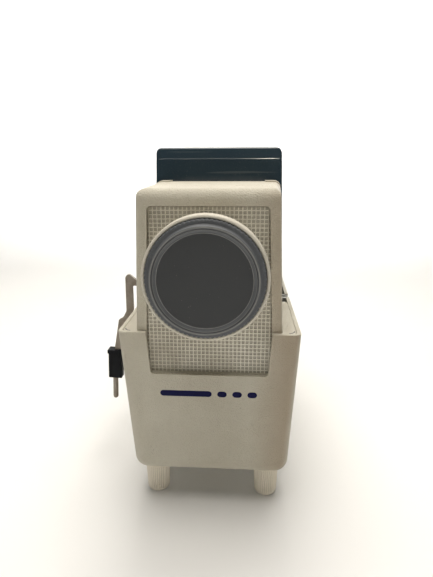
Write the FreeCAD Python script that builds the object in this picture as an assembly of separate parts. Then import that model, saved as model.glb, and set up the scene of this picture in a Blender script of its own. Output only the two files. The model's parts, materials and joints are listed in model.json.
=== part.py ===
"""Slide projector: one STEP file per separate piece, in millimetres.

Working frame: X to the right seen from the lens side, Y from the tub's front
face towards the lamp house, Z up from the surface that the feet stand on.
Every piece is moved by ORIGIN_SHIFT as it is written, so that the origin is
the bottom centre of the whole object's box.
"""
import FreeCAD, Part
import math
import os

Vec = FreeCAD.Vector
X_AXIS = Vec(1, 0, 0)
Y_AXIS = Vec(0, 1, 0)
Z_AXIS = Vec(0, 0, 1)

# ---- driving dimensions -------------------------------------------------
TUB_HALF = 65.0             # half width of the tub at its rim
TUB_LENGTH = 230.0          # front to back at the rim
RIM_Z = 145.0               # height of the rim
TUB_FLOOR_Z = 27.0          # underside of the tub
TUB_WALL = 3.0
DRAFT = 0.041               # moulding draft of the tub's walls, a tangent
AXIS_Z = 188.7              # height of the optical axis
GRILLE_Y = 7.0              # front face of the waffle panel
HEAD_FRONT_Y = 4.0
HEAD_REAR_Y = 124.5
HEAD_TOP_Z = 243.6
DECK_TOP_Z = 144.6
DECK_THICKNESS = 2.8
HEAD_FOOT_Z = DECK_TOP_Z    # the head's side walls stand on the deck
HEAD_HALF_FOOT = 51.6
HEAD_HALF_TOP = 47.4
HEAD_FLARE = 8.7            # each side stands this much further out at the rear
HEAD_RISE = 1.1             # the roof is this much higher at the rear
HEAD_WALL = 2.5
COVER_FRONT_Y = 125.0
COVER_REAR_Y = 225.0
COVER_FOOT_Z = 140.0
COVER_TOP_Z = 274.5
COVER_HALF_FOOT = 61.6
COVER_HALF_TOP = 56.8
COVER_WALL = 1.5
GATE_Y = 98.0               # plane of the slide in the gate
DECK_REAR_Y = 80.0
SHEET = 1.5                 # thickness of the inner steel plates
GATE_PLATE_TOP_Z = 232.0    # top of the upright steel plates

RING_RADIUS = 41.0          # focusing ring's round front band
RING_FRONT_Y = -21.0
RING_LENGTH = 9.5
RING_RECESS_RADIUS = 38.7
BARREL_RADIUS = 33.2
CAP_RADIUS = 34.8
CAP_FLANGE_RADIUS = 38.3
CAP_FRONT_Y = -27.0
RUNNING_FIT = 0.05          # radial clearance of shafts and tubes that slide

FOOT_X = 44.2
FOOT_FRONT_Y = 22.0
FOOT_REAR_Y = 200.0
FOOT_RADIUS = 9.8           # top of a foot; it narrows to FOOT_END_RADIUS
FOOT_END_RADIUS = 9.0
KNOB_HEIGHT = 25.0
STUD_RADIUS = 4.0
STUD_LENGTH = 56.0
STUD_LOW_Z = 6.0
PAD_HEIGHT = 3.0            # rubber under the rear legs

GRIP_TOP = Vec(-98.1, GATE_Y, 89.0)
GRIP_LENGTH = 29.0
GRIP_HALF = 6.5             # half width of the block-shaped grip
GRIP_OFFSET = 0.7           # the block's middle stands this far in from its rod
GRIP_HALF_DEPTH = 4.2
GRIP_FLANGE = 0.8           # how far the top flange stands out
GRIP_FLANGE_HEIGHT = 3.6
GRIP_LEAN = math.radians(3.0)   # the grip leans outwards as it goes down
TAIL_LENGTH = 52.5          # from the grip's top to the rod's rounded end
TAIL_RADIUS = 2.5
TAIL_INSET = 4.0            # the rod starts this far under the grip's top
ARM_THICKNESS = 3.0

GRIP_AXIS = Vec(-math.sin(GRIP_LEAN), 0, -math.cos(GRIP_LEAN))
GRIP_END_X = GRIP_TOP.x + GRIP_AXIS.x * GRIP_LENGTH
BOX_LEFT = GRIP_END_X - (GRIP_HALF - GRIP_OFFSET) * math.cos(GRIP_LEAN)
ORIGIN_SHIFT = Vec(-(BOX_LEFT + TUB_HALF) / 2, -(CAP_FRONT_Y + TUB_LENGTH) / 2, 0)


# ---- helpers ------------------------------------------------------------
def block(x0, x1, y0, y1, z0, z1):
    """A box between two corners."""
    return Part.makeBox(x1 - x0, y1 - y0, z1 - z0, Vec(x0, y0, z0))


def rod(point, radius, length, axis=Y_AXIS):
    """A solid cylinder that starts at a point and runs along an axis."""
    return Part.makeCylinder(radius, length, point, axis)


def tube(point, outer, inner, length, axis=Y_AXIS):
    """A plain tube that starts at a point and runs along an axis."""
    return rod(point, outer, length, axis).cut(rod(point, inner, length, axis))


def on_axis(y):
    """The point of the optical axis at a depth."""
    return Vec(0, y, AXIS_Z)


def fuse(shapes):
    """One solid from touching shapes."""
    joined = shapes[0].multiFuse(shapes[1:])
    return joined.removeSplitter()


def mirrored(shape):
    """The same shape on the other side of the middle plane."""
    return shape.mirror(Vec(0, 0, 0), X_AXIS)


def both_sides(shape):
    """A shape and its mirror image, as separate solids."""
    return [shape, mirrored(shape)]


def cut_all(shape, tools):
    """A shape less every tool."""
    for tool in tools:
        shape = shape.cut(tool)
    return shape


def rounded_wire(points, radii):
    """A closed wire through corner points, each corner an arc of its radius."""
    edges = []
    first = None
    last = None
    count = len(points)
    for i in range(count):
        corner = points[i]
        back = (points[i - 1] - corner).normalize()
        ahead = (points[(i + 1) % count] - corner).normalize()
        radius = radii[i]
        if radius <= 0:
            start = end = corner
        else:
            half = back.getAngle(ahead) / 2
            reach = radius / math.tan(half)
            start = corner + back * reach
            end = corner + ahead * reach
            middle = (back + ahead).normalize() * (radius / math.sin(half) - radius)
        if last is None:
            first = start
        else:
            edges.append(Part.makeLine(last, start))
        if radius > 0:
            edges.append(Part.Arc(start, corner + middle, end).toShape())
        last = end
    edges.append(Part.makeLine(last, first))
    return Part.Wire(edges)


def outline_prism(points, radii, depth):
    """A flat outline given depth along a vector."""
    return Part.Face(rounded_wire(points, radii)).extrude(depth)


def trapezoid(half_low, half_high, z_low, z_high, y0, y1, low_radius, high_radius):
    """An upright trapezoid, symmetric about the middle plane, run along Y."""
    points = [Vec(-half_low, y0, z_low), Vec(half_low, y0, z_low),
              Vec(half_high, y0, z_high), Vec(-half_high, y0, z_high)]
    radii = [low_radius, low_radius, high_radius, high_radius]
    return outline_prism(points, radii, Vec(0, y1 - y0, 0))


def rectangle_section(z, half_x, y0, y1, radius):
    """A level rounded rectangle."""
    points = [Vec(-half_x, y0, z), Vec(half_x, y0, z), Vec(half_x, y1, z), Vec(-half_x, y1, z)]
    return rounded_wire(points, [radius] * 4)


def front_rounding(y_front, z_top, radius, half):
    """The waste outside a round along a front top edge."""
    waste = block(-half, half, y_front - 1, y_front + radius, z_top - radius, z_top + 1)
    return waste.cut(rod(Vec(-half, y_front + radius, z_top - radius), radius, 2 * half, X_AXIS))


def edges_where(shape, test):
    """Edges whose centre passes a test."""
    return [edge for edge in shape.Edges if test(edge)]


def end_outline(shape, y):
    """The edges round an end face of a prism along Y, less the level one at its foot."""
    low = shape.BoundBox.ZMin
    return edges_where(shape, lambda e: abs(e.BoundBox.YMin - y) < 0.01 and abs(e.BoundBox.YMax - y) < 0.01
                       and e.BoundBox.ZMax > low + 1)


def screw(point, axis, head_radius, head_height, shank_radius, shank_length):
    """A pan-head screw: its head stands on a surface, its shank runs in against the axis."""
    head = Part.makeCylinder(head_radius, head_height, point, axis)
    head = head.makeFillet(head_height * 0.45, [head.Edges[0]])
    shank = Part.makeCylinder(shank_radius, shank_length, point - axis * shank_length, axis)
    slot_depth = head_height * 0.5
    slot = Part.makeBox(head_radius * 2.4, 0.9, slot_depth + 1)
    slot.translate(Vec(-head_radius * 1.2, -0.45, head_height - slot_depth))
    turn = FreeCAD.Rotation(Z_AXIS, axis)
    slot.Placement = FreeCAD.Placement(point, turn).multiply(slot.Placement)
    return fuse([head, shank]).cut(slot)


def revolved(points, y0=0.0):
    """A solid of revolution about the optical axis from (y, radius) corners."""
    corners = [Vec(0, y0 + y, AXIS_Z + radius) for y, radius in points]
    face = Part.Face(Part.makePolygon(corners + [corners[0]]))
    return face.revolve(on_axis(0), Y_AXIS, 360)


def lens_blank(y_front, y_rear, radius, front_sag, rear_sag):
    """A lens between two planes; a positive sag bulges a face, zero leaves it flat."""
    shape = rod(on_axis(y_front), radius, y_rear - y_front)
    if front_sag > 0:
        ball = (radius ** 2 + front_sag ** 2) / (2 * front_sag)
        shape = shape.common(Part.makeSphere(ball, on_axis(y_front + ball)))
    if rear_sag > 0:
        ball = (radius ** 2 + rear_sag ** 2) / (2 * rear_sag)
        shape = shape.common(Part.makeSphere(ball, on_axis(y_rear - ball)))
    return shape


def write(name, shapes):
    """Write one node: one solid, or a group of separate solids."""
    if not isinstance(shapes, list):
        shapes = [shapes]
    solids = []
    for shape in shapes:
        solids += shape.Solids
    bad = [solid for solid in solids if not solid.isValid() or solid.Volume <= 0]
    if bad or not solids:
        raise ValueError("bad solid in " + name)
    group = solids[0] if len(solids) == 1 else Part.makeCompound(solids)
    group = group.copy()
    group.translate(ORIGIN_SHIFT)
    group.exportStep(os.path.join("parts", name + ".step"))
    volume = sum(solid.Volume for solid in solids)
    print("%-22s %2d solid(s) %10.1f mm3" % (name, len(solids), volume))


# ---- lower housing ------------------------------------------------------
NOTCH_HALF_RIM = 44.6       # window in the tub's front wall, under the lens
NOTCH_HALF_FOOT = 42.5
NOTCH_FOOT_Z = 112.2
RAIL_HALF_Y = 5.5           # the changer's channel and the rim slots that hold its ends
RAIL_FOOT_Z = 132.0
RAIL_TOP_Z = 144.4
RAIL_HALF_LENGTH = 64.6
PLATE_Z = 33.5              # top of the chassis plate
BOSS_X = 50.0
BOSS_YS = (40.0, 185.0)
PANEL_Y = 219.5             # rear connection panel
PANEL_HALF = 46.0
PANEL_LOW_Z = 52.0
PANEL_HIGH_Z = 120.0
PANEL_LAP = 3.0             # the panel's edge behind the window's edge
BOSS_RADIUS = 5.0
SCREW_HOLE = 1.6
BUSH_RADIUS = 7.0
LEDGE_YS = (26.0, 62.0, 132.0, 200.0)
LEDGE_HEIGHT = 16.0
LEDGE_OUT_X = 62.4
DECK_LEDGE_X = 56.0         # inner end of the ledges under the deck
COVER_LEDGE_X = 58.5        # inner end of the ledges under the lamp cover
FLOOR_SLOTS = 7
FLOOR_SLOT_Y = 140.0
FLOOR_SLOT_PITCH = 9.0
FLOOR_SLOT_WIDTH = 4.0
FLOOR_SLOT_ENDS = (4.0, 27.0)
DECK_HALF = 61.8
DECK_FRONT_Y = 3.3
DECK_GAP_HALF = 52.0        # the deck's opening round the head's apron


def tub_body(inset, z_low, z_high, rim_radius, foot_radius):
    """The drafted, round-cornered volume of the tub, moved in by an inset."""
    wires = []
    for z in (z_low, z_high):
        shrink = (RIM_Z - z) * DRAFT + inset
        share = (RIM_Z - z) / (RIM_Z - TUB_FLOOR_Z)
        radius = rim_radius + (foot_radius - rim_radius) * max(share, 0.0)
        wires.append(rectangle_section(z, TUB_HALF - shrink, shrink, TUB_LENGTH - shrink, radius))
    return Part.makeLoft(wires, True, True)


def floor_slots():
    """Cooling slots through the tub's floor, under the fan."""
    x0, x1 = FLOOR_SLOT_ENDS
    slots = []
    for i in range(FLOOR_SLOTS):
        y = FLOOR_SLOT_Y + i * FLOOR_SLOT_PITCH
        slots += both_sides(block(x0, x1, y, y + FLOOR_SLOT_WIDTH, TUB_FLOOR_Z - 1, PLATE_Z + 2))
    return slots


def round_foot(shape, radius):
    """Fillet the lowest edges of a shape."""
    low = shape.BoundBox.ZMin
    return shape.makeFillet(radius, edges_where(shape, lambda e: e.BoundBox.ZMax < low + 0.01))


def tub_shell():
    outer = round_foot(tub_body(0, TUB_FLOOR_Z, RIM_Z, 5, 12), 9)
    rim_edges = edges_where(outer, lambda e: e.BoundBox.ZMin > RIM_Z - 0.01)
    outer = outer.makeFillet(0.7, rim_edges)
    hollow = round_foot(tub_body(TUB_WALL, TUB_FLOOR_Z + TUB_WALL, RIM_Z + 1, 2, 9), 6.5)
    shell = outer.cut(hollow)
    notch = trapezoid(NOTCH_HALF_FOOT, NOTCH_HALF_RIM + 0.1, NOTCH_FOOT_Z, RIM_Z + 2, -2, 8, 3, 0)
    added = []
    for y in BOSS_YS:
        boss = rod(Vec(BOSS_X, y, TUB_FLOOR_Z + 1), BOSS_RADIUS, PLATE_Z - SHEET - TUB_FLOOR_Z - 1, Z_AXIS)
        added += both_sides(boss)
    for y in LEDGE_YS:
        on_deck = y < DECK_REAR_Y
        top = DECK_TOP_Z - DECK_THICKNESS if on_deck else COVER_FOOT_Z
        inner_x = DECK_LEDGE_X if on_deck else COVER_LEDGE_X
        added += both_sides(block(inner_x, LEDGE_OUT_X, y, y + 5, top - LEDGE_HEIGHT, top))
    shell = fuse([shell] + added)
    waste = [notch, block(PANEL_LAP - PANEL_HALF, PANEL_HALF - PANEL_LAP, TUB_LENGTH - 15, TUB_LENGTH + 5,
                          PANEL_LOW_Z + PANEL_LAP, PANEL_HIGH_Z - PANEL_LAP)]
    waste += both_sides(block(TUB_HALF - 6, TUB_HALF + 2, GATE_Y - RAIL_HALF_Y, GATE_Y + RAIL_HALF_Y,
                              RAIL_FOOT_Z, RIM_Z + 1))
    for y in (FOOT_FRONT_Y, FOOT_REAR_Y):
        waste += both_sides(rod(Vec(FOOT_X, y, TUB_FLOOR_Z - 1), BUSH_RADIUS, 8, Z_AXIS))
    for y in BOSS_YS:
        waste += both_sides(rod(Vec(BOSS_X, y, TUB_FLOOR_Z - 1), SCREW_HOLE, 10, Z_AXIS))
    return cut_all(shell, waste + floor_slots())


def deck_plate():
    """Inset top plate round the foot of the head, open under the head."""
    z_low = DECK_TOP_Z - DECK_THICKNESS
    outer = rectangle_section(z_low, DECK_HALF, DECK_FRONT_Y, DECK_REAR_Y, 3.6)
    plate = Part.Face(outer).extrude(Vec(0, 0, DECK_THICKNESS))
    inside = block(-49, 49, 0, DECK_REAR_Y - 2.5, z_low - 1, RIM_Z)
    apron_gap = block(-DECK_GAP_HALF, DECK_GAP_HALF, 5, 12, z_low - 1, RIM_Z)
    return cut_all(plate, [inside, apron_gap])


def chassis_plate():
    plate = Part.Face(rectangle_section(PLATE_Z - SHEET, 54, 12, 212, 4)).extrude(Vec(0, 0, SHEET))
    holes = []
    for y in (FOOT_FRONT_Y, FOOT_REAR_Y):
        holes += both_sides(rod(Vec(FOOT_X, y, TUB_FLOOR_Z), BUSH_RADIUS + 2, 9, Z_AXIS))
    for y in BOSS_YS:
        holes += both_sides(rod(Vec(BOSS_X, y, TUB_FLOOR_Z), SCREW_HOLE, 9, Z_AXIS))
    return cut_all(plate, holes + floor_slots())


def base_screws():
    screws = []
    for y in BOSS_YS:
        for side in (-1, 1):
            point = Vec(side * BOSS_X, y, TUB_FLOOR_Z)
            screws.append(screw(point, Vec(0, 0, -1), 3.2, 1.8, SCREW_HOLE, PLATE_Z - TUB_FLOOR_Z))
    return screws


# ---- head ---------------------------------------------------------------
RECESS_HALF_TOP = 40.6      # opening of the front frame
RECESS_HALF_FOOT = 46.0
RECESS_TOP_Z = 232.4
RECESS_FOOT_Z = 112.5
HEAD_ROUND = 7.5            # round of the front top edge
HEAD_CORNER = 6.0           # round of the long top edges
EAR_RISE = 1.0              # raised corners at the rear of the roof
EAR_INNER_X = 41.9
EAR_FRONT_Y = 106.0
APRON_FOOT_Z = 104.0
SLIDE_SLOT_TOP_Z = 223.0
GRILLE_FOOT_Z = 106.0
GRILLE_TOP_Z = 238.0
GRILLE_THICKNESS = 2.0
TUBE_WALL = 2.7             # of the lens barrel and of the tube that it slides in
TUBE_RADIUS = BARREL_RADIUS + TUBE_WALL
MOUNT_FLANGE_Y = GRILLE_Y + GRILLE_THICKNESS + SHEET
MOUNT_FLANGE = 3.0
MOUNT_SCREWS = 4
MOUNT_SCREW_CIRCLE = 38.6
MOUNT_SCREW_RADIUS = 1.3


def head_half(z):
    """Half width of the head's outside at a height."""
    share = (z - RIM_Z) / (HEAD_TOP_Z - RIM_Z)
    return HEAD_HALF_FOOT + (HEAD_HALF_TOP - HEAD_HALF_FOOT) * share


def head_outline(y, inset=0.0, extra_top=0.0, z_low=HEAD_FOOT_Z):
    """The head's outline across the lens axis at a depth, moved in by an inset."""
    share = (y - HEAD_FRONT_Y) / (HEAD_REAR_Y - HEAD_FRONT_Y)
    z_top = HEAD_TOP_Z + HEAD_RISE * share + extra_top - inset
    out = HEAD_FLARE * share - inset
    low = head_half(z_low) + out
    high = head_half(z_top) + out
    points = [Vec(-low, y, z_low), Vec(low, y, z_low), Vec(high, y, z_top), Vec(-high, y, z_top)]
    corner = HEAD_CORNER - inset
    return rounded_wire(points, [0, 0, corner, corner])


def head_volume(y0, y1, **how):
    """The flaring, closed volume of the head between two depths."""
    return Part.makeLoft([head_outline(y0, **how), head_outline(y1, **how)], True, True)


def head_shell():
    outer = head_volume(HEAD_FRONT_Y, HEAD_REAR_Y)
    outer = outer.makeFillet(1.6, end_outline(outer, HEAD_FRONT_Y))
    round_top = HEAD_TOP_Z + HEAD_RISE * HEAD_ROUND / (HEAD_REAR_Y - HEAD_FRONT_Y)
    outer = outer.cut(front_rounding(HEAD_FRONT_Y, round_top, HEAD_ROUND, 60))
    raised = head_volume(EAR_FRONT_Y, HEAD_REAR_Y, extra_top=EAR_RISE)
    ears = [raised.common(side) for side in both_sides(block(EAR_INNER_X, 60, EAR_FRONT_Y, HEAD_REAR_Y,
                                                            HEAD_TOP_Z - 12, HEAD_TOP_Z + 5))]
    hollow = head_volume(GRILLE_Y, HEAD_REAR_Y + 1, inset=HEAD_WALL, z_low=HEAD_FOOT_Z - 2)
    shell = fuse([outer] + ears).cut(hollow)
    apron = trapezoid(head_half(APRON_FOOT_Z) - 1, head_half(HEAD_FOOT_Z) - 0.02, APRON_FOOT_Z,
                      HEAD_FOOT_Z + 1, 5.2, GRILLE_Y, 3, 0)
    shell = fuse([shell, apron])
    opening = trapezoid(RECESS_HALF_FOOT, RECESS_HALF_TOP, RECESS_FOOT_Z, RECESS_TOP_Z,
                        0, GRILLE_Y + 1, 3, 3)
    shell = shell.cut(opening)
    for slot in both_sides(block(44, 64, GATE_Y - 5, GATE_Y + 5, HEAD_FOOT_Z - 1, SLIDE_SLOT_TOP_Z)):
        shell = shell.cut(slot)
    return shell


def grille_panel():
    """Flat backing panel of the waffle front, with the lens opening."""
    panel = trapezoid(head_half(GRILLE_FOOT_Z) - HEAD_WALL - 2.0, head_half(GRILLE_TOP_Z) - HEAD_WALL - 0.5,
                      GRILLE_FOOT_Z, GRILLE_TOP_Z, GRILLE_Y, GRILLE_Y + GRILLE_THICKNESS, 2, 2)
    return panel.cut(rod(on_axis(0), TUBE_RADIUS + 0.1, 30))


def front_bulkhead():
    """Steel plate behind the waffle panel that carries the lens tube."""
    y0 = GRILLE_Y + GRILLE_THICKNESS
    neck_half = FOOT_X - 10
    z_neck = 62
    plate = block(-42, 42, y0, y0 + SHEET, z_neck, GATE_PLATE_TOP_Z)
    neck = block(-neck_half, neck_half, y0, y0 + SHEET, PLATE_Z, z_neck)
    foot = block(-neck_half, neck_half, y0, y0 + 9, PLATE_Z, PLATE_Z + SHEET)
    plate = fuse([plate, neck, foot])
    return plate.cut(rod(on_axis(0), TUBE_RADIUS + 0.1, 30))


def mount_screw_points(y):
    """The centres of the flange's screws at a depth."""
    points = []
    for k in range(MOUNT_SCREWS):
        angle = math.tau * (k + 0.5) / MOUNT_SCREWS
        points.append(on_axis(y) + Vec(math.cos(angle), 0, math.sin(angle)) * MOUNT_SCREW_CIRCLE)
    return points


def lens_mount():
    """Fixed tube that the lens barrel slides in and the focusing ring turns on."""
    body = rod(on_axis(-11.2), TUBE_RADIUS, 61)
    flange = rod(on_axis(MOUNT_FLANGE_Y), RING_RADIUS, MOUNT_FLANGE)
    mount = fuse([body, flange]).cut(rod(on_axis(-30), BARREL_RADIUS + RUNNING_FIT, 110))
    holes = [rod(point, MOUNT_SCREW_RADIUS, 12) for point in mount_screw_points(MOUNT_FLANGE_Y - 5)]
    return cut_all(mount, holes)


def mount_screws():
    """The screws that hold the lens tube's flange to the bulkhead."""
    points = mount_screw_points(MOUNT_FLANGE_Y + MOUNT_FLANGE)
    return [screw(point, Y_AXIS, 2.2, 1.3, MOUNT_SCREW_RADIUS, MOUNT_FLANGE) for point in points]


# ---- lens ---------------------------------------------------------------
BEZEL_FRONT_Y = -19.2
BEZEL_REAR_Y = -16.6
RING_SEAT_Y = -10.9         # inner shoulder of the ring, in front of the lens tube
BARREL_FRONT_Y = -24.5
BARREL_REAR_Y = 50.0
LENS_RADIUS = BARREL_RADIUS - TUBE_WALL


def focus_ring():
    """Knurled band with a deep front recess, and the sleeve that turns on the lens tube."""
    bore = TUBE_RADIUS + RUNNING_FIT
    sleeve_radius = bore + 2.5
    y_front = RING_FRONT_Y
    y_web = y_front + RING_LENGTH
    y_back = GRILLE_Y - 0.8
    profile = [(y_front, RING_RECESS_RADIUS), (y_front, 39.4), (y_front + 1.7, RING_RADIUS),
               (y_web, RING_RADIUS), (y_web + 1.5, sleeve_radius), (y_back, sleeve_radius),
               (y_back, bore), (RING_SEAT_Y, bore), (RING_SEAT_Y, RING_RECESS_RADIUS)]
    ring = revolved(profile)
    front_edges = edges_where(ring, lambda e: e.BoundBox.XLength > 2 * 39.3
                              and e.BoundBox.YMax < y_front + 1.8)
    return ring.makeFillet(0.8, front_edges)


def lens_barrel():
    return tube(on_axis(BARREL_FRONT_Y), BARREL_RADIUS, LENS_RADIUS, BARREL_REAR_Y - BARREL_FRONT_Y)


def front_bezel():
    """Plain dark ring pressed on the barrel's nose inside the focusing ring."""
    profile = [(BEZEL_FRONT_Y, BARREL_RADIUS), (BEZEL_FRONT_Y, 37.6), (BEZEL_FRONT_Y + 0.4, 38.1),
               (BEZEL_REAR_Y, 38.1), (BEZEL_REAR_Y, BARREL_RADIUS)]
    return revolved(profile)


def lens_elements():
    """Three glass elements of the projection lens, front to back."""
    return {"lens_front": lens_blank(-19, -8, LENS_RADIUS, 6.5, 0),
            "lens_middle": lens_blank(14, 20, LENS_RADIUS, 0, 1.5),
            "lens_rear": lens_blank(34, 44, LENS_RADIUS, 2, 5.5)}


def spacer(y0, y1):
    """Dark tube between two elements."""
    return tube(on_axis(y0), LENS_RADIUS, LENS_RADIUS - 1.8, y1 - y0)


def retainer(y0, y1):
    """Thin threaded ring that holds an element in, with two key slots."""
    ring = tube(on_axis(y0), LENS_RADIUS, LENS_RADIUS - 3, y1 - y0)
    key = block(LENS_RADIUS - 3.2, LENS_RADIUS - 1, y0 - 1, y1 + 1, AXIS_Z - 1, AXIS_Z + 1)
    return cut_all(ring, both_sides(key))


def lens_cap():
    """Push-on cap: grip flange, raised rim, shallow cone and a flat disc."""
    bore = BARREL_RADIUS + RUNNING_FIT
    y_disc = CAP_FRONT_Y + 1.9
    y_back = y_disc + 1.0
    y_flange = CAP_FRONT_Y + 4.6
    y_end = BEZEL_FRONT_Y - 0.4
    y_nose = BARREL_FRONT_Y - 0.1
    profile = [(y_disc, 0), (y_disc, 29.3), (CAP_FRONT_Y + 0.4, 32.8), (CAP_FRONT_Y, 33.4),
               (CAP_FRONT_Y, 34.3), (CAP_FRONT_Y + 0.5, CAP_RADIUS), (y_flange, CAP_RADIUS),
               (y_flange, 37.7), (y_flange + 0.6, CAP_FLANGE_RADIUS), (y_end, CAP_FLANGE_RADIUS),
               (y_end, bore), (y_nose, bore), (y_nose, 30), (y_back, 29), (y_back, 0)]
    return revolved(profile)


# ---- gate, condenser and slide changer ----------------------------------
APERTURE_HALF = 19.0
FRAME_HALF = 29.5           # outside of the slide carrier
POCKET_HALF = 25.6          # takes a 50 mm slide
FRAME_FOOT_Z = 161.0
FRAME_TOP_Z = 219.5
FRAME_HALF_DEPTH = 2.6
POCKET_HALF_DEPTH = 1.4
POCKET_FOOT_Z = 164.6
WINDOW_HALF = 20.0
GATE_PLATE_HALF = 43.0
GATE_PLATE_FOOT = 7.0
RAIL_WALL = 1.2
SHOE_TOP_Z = 142.0


def gate_plate(y0):
    """Upright steel plate with the picture aperture, standing on the chassis plate."""
    half = GATE_PLATE_HALF
    plate = block(-half, half, y0, y0 + SHEET, PLATE_Z, GATE_PLATE_TOP_Z)
    y_foot = y0 - GATE_PLATE_FOOT if y0 < GATE_Y else y0
    foot = block(-half, half, y_foot, y_foot + GATE_PLATE_FOOT + SHEET, PLATE_Z, PLATE_Z + SHEET)
    aperture = block(-APERTURE_HALF, APERTURE_HALF, y0 - 1, y0 + 3,
                     AXIS_Z - APERTURE_HALF, AXIS_Z + APERTURE_HALF)
    return fuse([plate, foot]).cut(aperture)


def channel_rail():
    """U channel across the tub that guides the changer; its ends fill the rim slots."""
    y0 = GATE_Y - RAIL_HALF_Y
    y1 = GATE_Y + RAIL_HALF_Y
    rail = block(-RAIL_HALF_LENGTH, RAIL_HALF_LENGTH, y0, y1, RAIL_FOOT_Z, RAIL_TOP_Z)
    return rail.cut(block(-70, 70, y0 + RAIL_WALL, y1 - RAIL_WALL, RAIL_FOOT_Z + RAIL_WALL, RAIL_TOP_Z + 1))


def changer_slider():
    """Nylon shoe in the channel with the neck that carries the slide frame."""
    shoe = block(-14, 48, GATE_Y - 4, GATE_Y + 4, RAIL_FOOT_Z + 1.5, SHOE_TOP_Z)
    neck = block(-12, 12, GATE_Y - 2.5, GATE_Y + 2.5, SHOE_TOP_Z, FRAME_FOOT_Z)
    slider = fuse([shoe, neck])
    return slider.cut(changer_arm_plate())


def changer_frame():
    """Slide carrier: a frame open at the top, with a pocket for a 50 mm slide."""
    y0 = GATE_Y - FRAME_HALF_DEPTH
    y1 = GATE_Y + FRAME_HALF_DEPTH
    frame = block(-FRAME_HALF, FRAME_HALF, y0, y1, FRAME_FOOT_Z, FRAME_TOP_Z)
    pocket = block(-POCKET_HALF, POCKET_HALF, GATE_Y - POCKET_HALF_DEPTH, GATE_Y + POCKET_HALF_DEPTH,
                   POCKET_FOOT_Z, FRAME_TOP_Z + 1)
    window = block(-WINDOW_HALF, WINDOW_HALF, y0 - 1, y1 + 1, AXIS_Z - WINDOW_HALF, FRAME_TOP_Z + 1)
    return cut_all(frame, [pocket, window])


def changer_arm_plate():
    """Stamped steel arm: level bar, hooked top, upright, shoulder and leaning tang."""
    y0 = GATE_Y - ARM_THICKNESS / 2
    bar = [((10, 157.0), 0), ((10, 152.4), 0), ((-77.6, 152.4), 1.5)]
    inner_side = [((-77.9, 128.5), 3), ((-85.5, 117), 6), ((-91.4, 89.0), 0)]
    tang = [((-94.0, 89.0), 0), ((-94.4, 82.0), 0), ((-101.8, 82.0), 0), ((-101.4, 89.0), 0)]
    outer_side = [((-98.3, 89.0), 0), ((-92.4, 119.0), 1.5), ((-88.2, 121.2), 5), ((-84.6, 127.8), 4)]
    hook = [((-83.8, 160.0), 2.5), ((-81.4, 164.2), 2.5), ((-73.4, 157.6), 3)]
    corners = bar + inner_side + tang + outer_side + hook
    points = [Vec(x, y0, z) for (x, z), radius in corners]
    radii = [radius for corner, radius in corners]
    return outline_prism(points, radii, Vec(0, ARM_THICKNESS, 0))


def changer_arm():
    """The stamped arm and the round rod that passes through the grip."""
    tail_top = GRIP_TOP + GRIP_AXIS * TAIL_INSET
    tail = Part.makeCylinder(TAIL_RADIUS, TAIL_LENGTH - TAIL_RADIUS - TAIL_INSET, tail_top, GRIP_AXIS)
    tip = Part.makeSphere(TAIL_RADIUS, GRIP_TOP + GRIP_AXIS * (TAIL_LENGTH - TAIL_RADIUS))
    return fuse([changer_arm_plate(), tail, tip])


def grip_block(half, half_depth, height):
    """An upright block under the grip's top, with rounded upright edges."""
    x0 = GRIP_OFFSET - half
    x1 = GRIP_OFFSET + half
    points = [Vec(x0, -half_depth, -height), Vec(x1, -half_depth, -height),
              Vec(x1, half_depth, -height), Vec(x0, half_depth, -height)]
    return outline_prism(points, [1.2] * 4, Vec(0, 0, height))


def changer_grip(arm):
    """Block-shaped hand grip with a top flange, moulded on the arm."""
    flange = grip_block(GRIP_HALF + GRIP_FLANGE, GRIP_HALF_DEPTH + GRIP_FLANGE, GRIP_FLANGE_HEIGHT)
    grip = fuse([flange, grip_block(GRIP_HALF, GRIP_HALF_DEPTH, GRIP_LENGTH)])
    ends = edges_where(grip, lambda e: e.BoundBox.ZMin > -0.01 or e.BoundBox.ZMax < 0.01 - GRIP_LENGTH)
    grip = grip.makeFillet(0.7, ends)
    grip.rotate(Vec(0, 0, 0), Y_AXIS, math.degrees(GRIP_LEAN))
    grip.translate(GRIP_TOP)
    return grip.cut(arm)


def gate_springs():
    """Two bowed leaf springs on the rear gate plate that steady the slide frame."""
    y_plate = GATE_Y + RAIL_HALF_Y
    x = APERTURE_HALF + 2
    outer_half = 18
    inner_half = 17
    top, low = Vec(x, y_plate, AXIS_Z + outer_half), Vec(x, y_plate, AXIS_Z - outer_half)
    inner_top, inner_low = Vec(x, y_plate, AXIS_Z + inner_half), Vec(x, y_plate, AXIS_Z - inner_half)
    wire = Part.Wire([Part.Arc(low, Vec(x, y_plate - 1.9, AXIS_Z), top).toShape(),
                      Part.makeLine(top, inner_top),
                      Part.Arc(inner_top, Vec(x, y_plate - 1.5, AXIS_Z), inner_low).toShape(),
                      Part.makeLine(inner_low, low)])
    return both_sides(Part.Face(wire).extrude(Vec(4, 0, 0)))


CONDENSER_RADIUS = 26.5
CONDENSER_VENTS = 6
CONDENSER_FRONT_Y = GATE_Y + RAIL_HALF_Y + SHEET


def condenser_holder():
    """Tube behind the gate that holds the heat glass and the condenser lenses."""
    y0 = CONDENSER_FRONT_Y
    body = tube(on_axis(y0), CONDENSER_RADIUS + 2, CONDENSER_RADIUS, 19)
    flange = tube(on_axis(y0), CONDENSER_RADIUS + 6, CONDENSER_RADIUS - 2, 1.2)
    holder = fuse([body, flange])
    for k in range(CONDENSER_VENTS):
        angle = math.tau * k / CONDENSER_VENTS
        vent = rod(on_axis(y0 + 4.2), 1.4, 40, Vec(math.cos(angle), 0, math.sin(angle)))
        holder = holder.cut(vent)
    return holder


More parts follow.
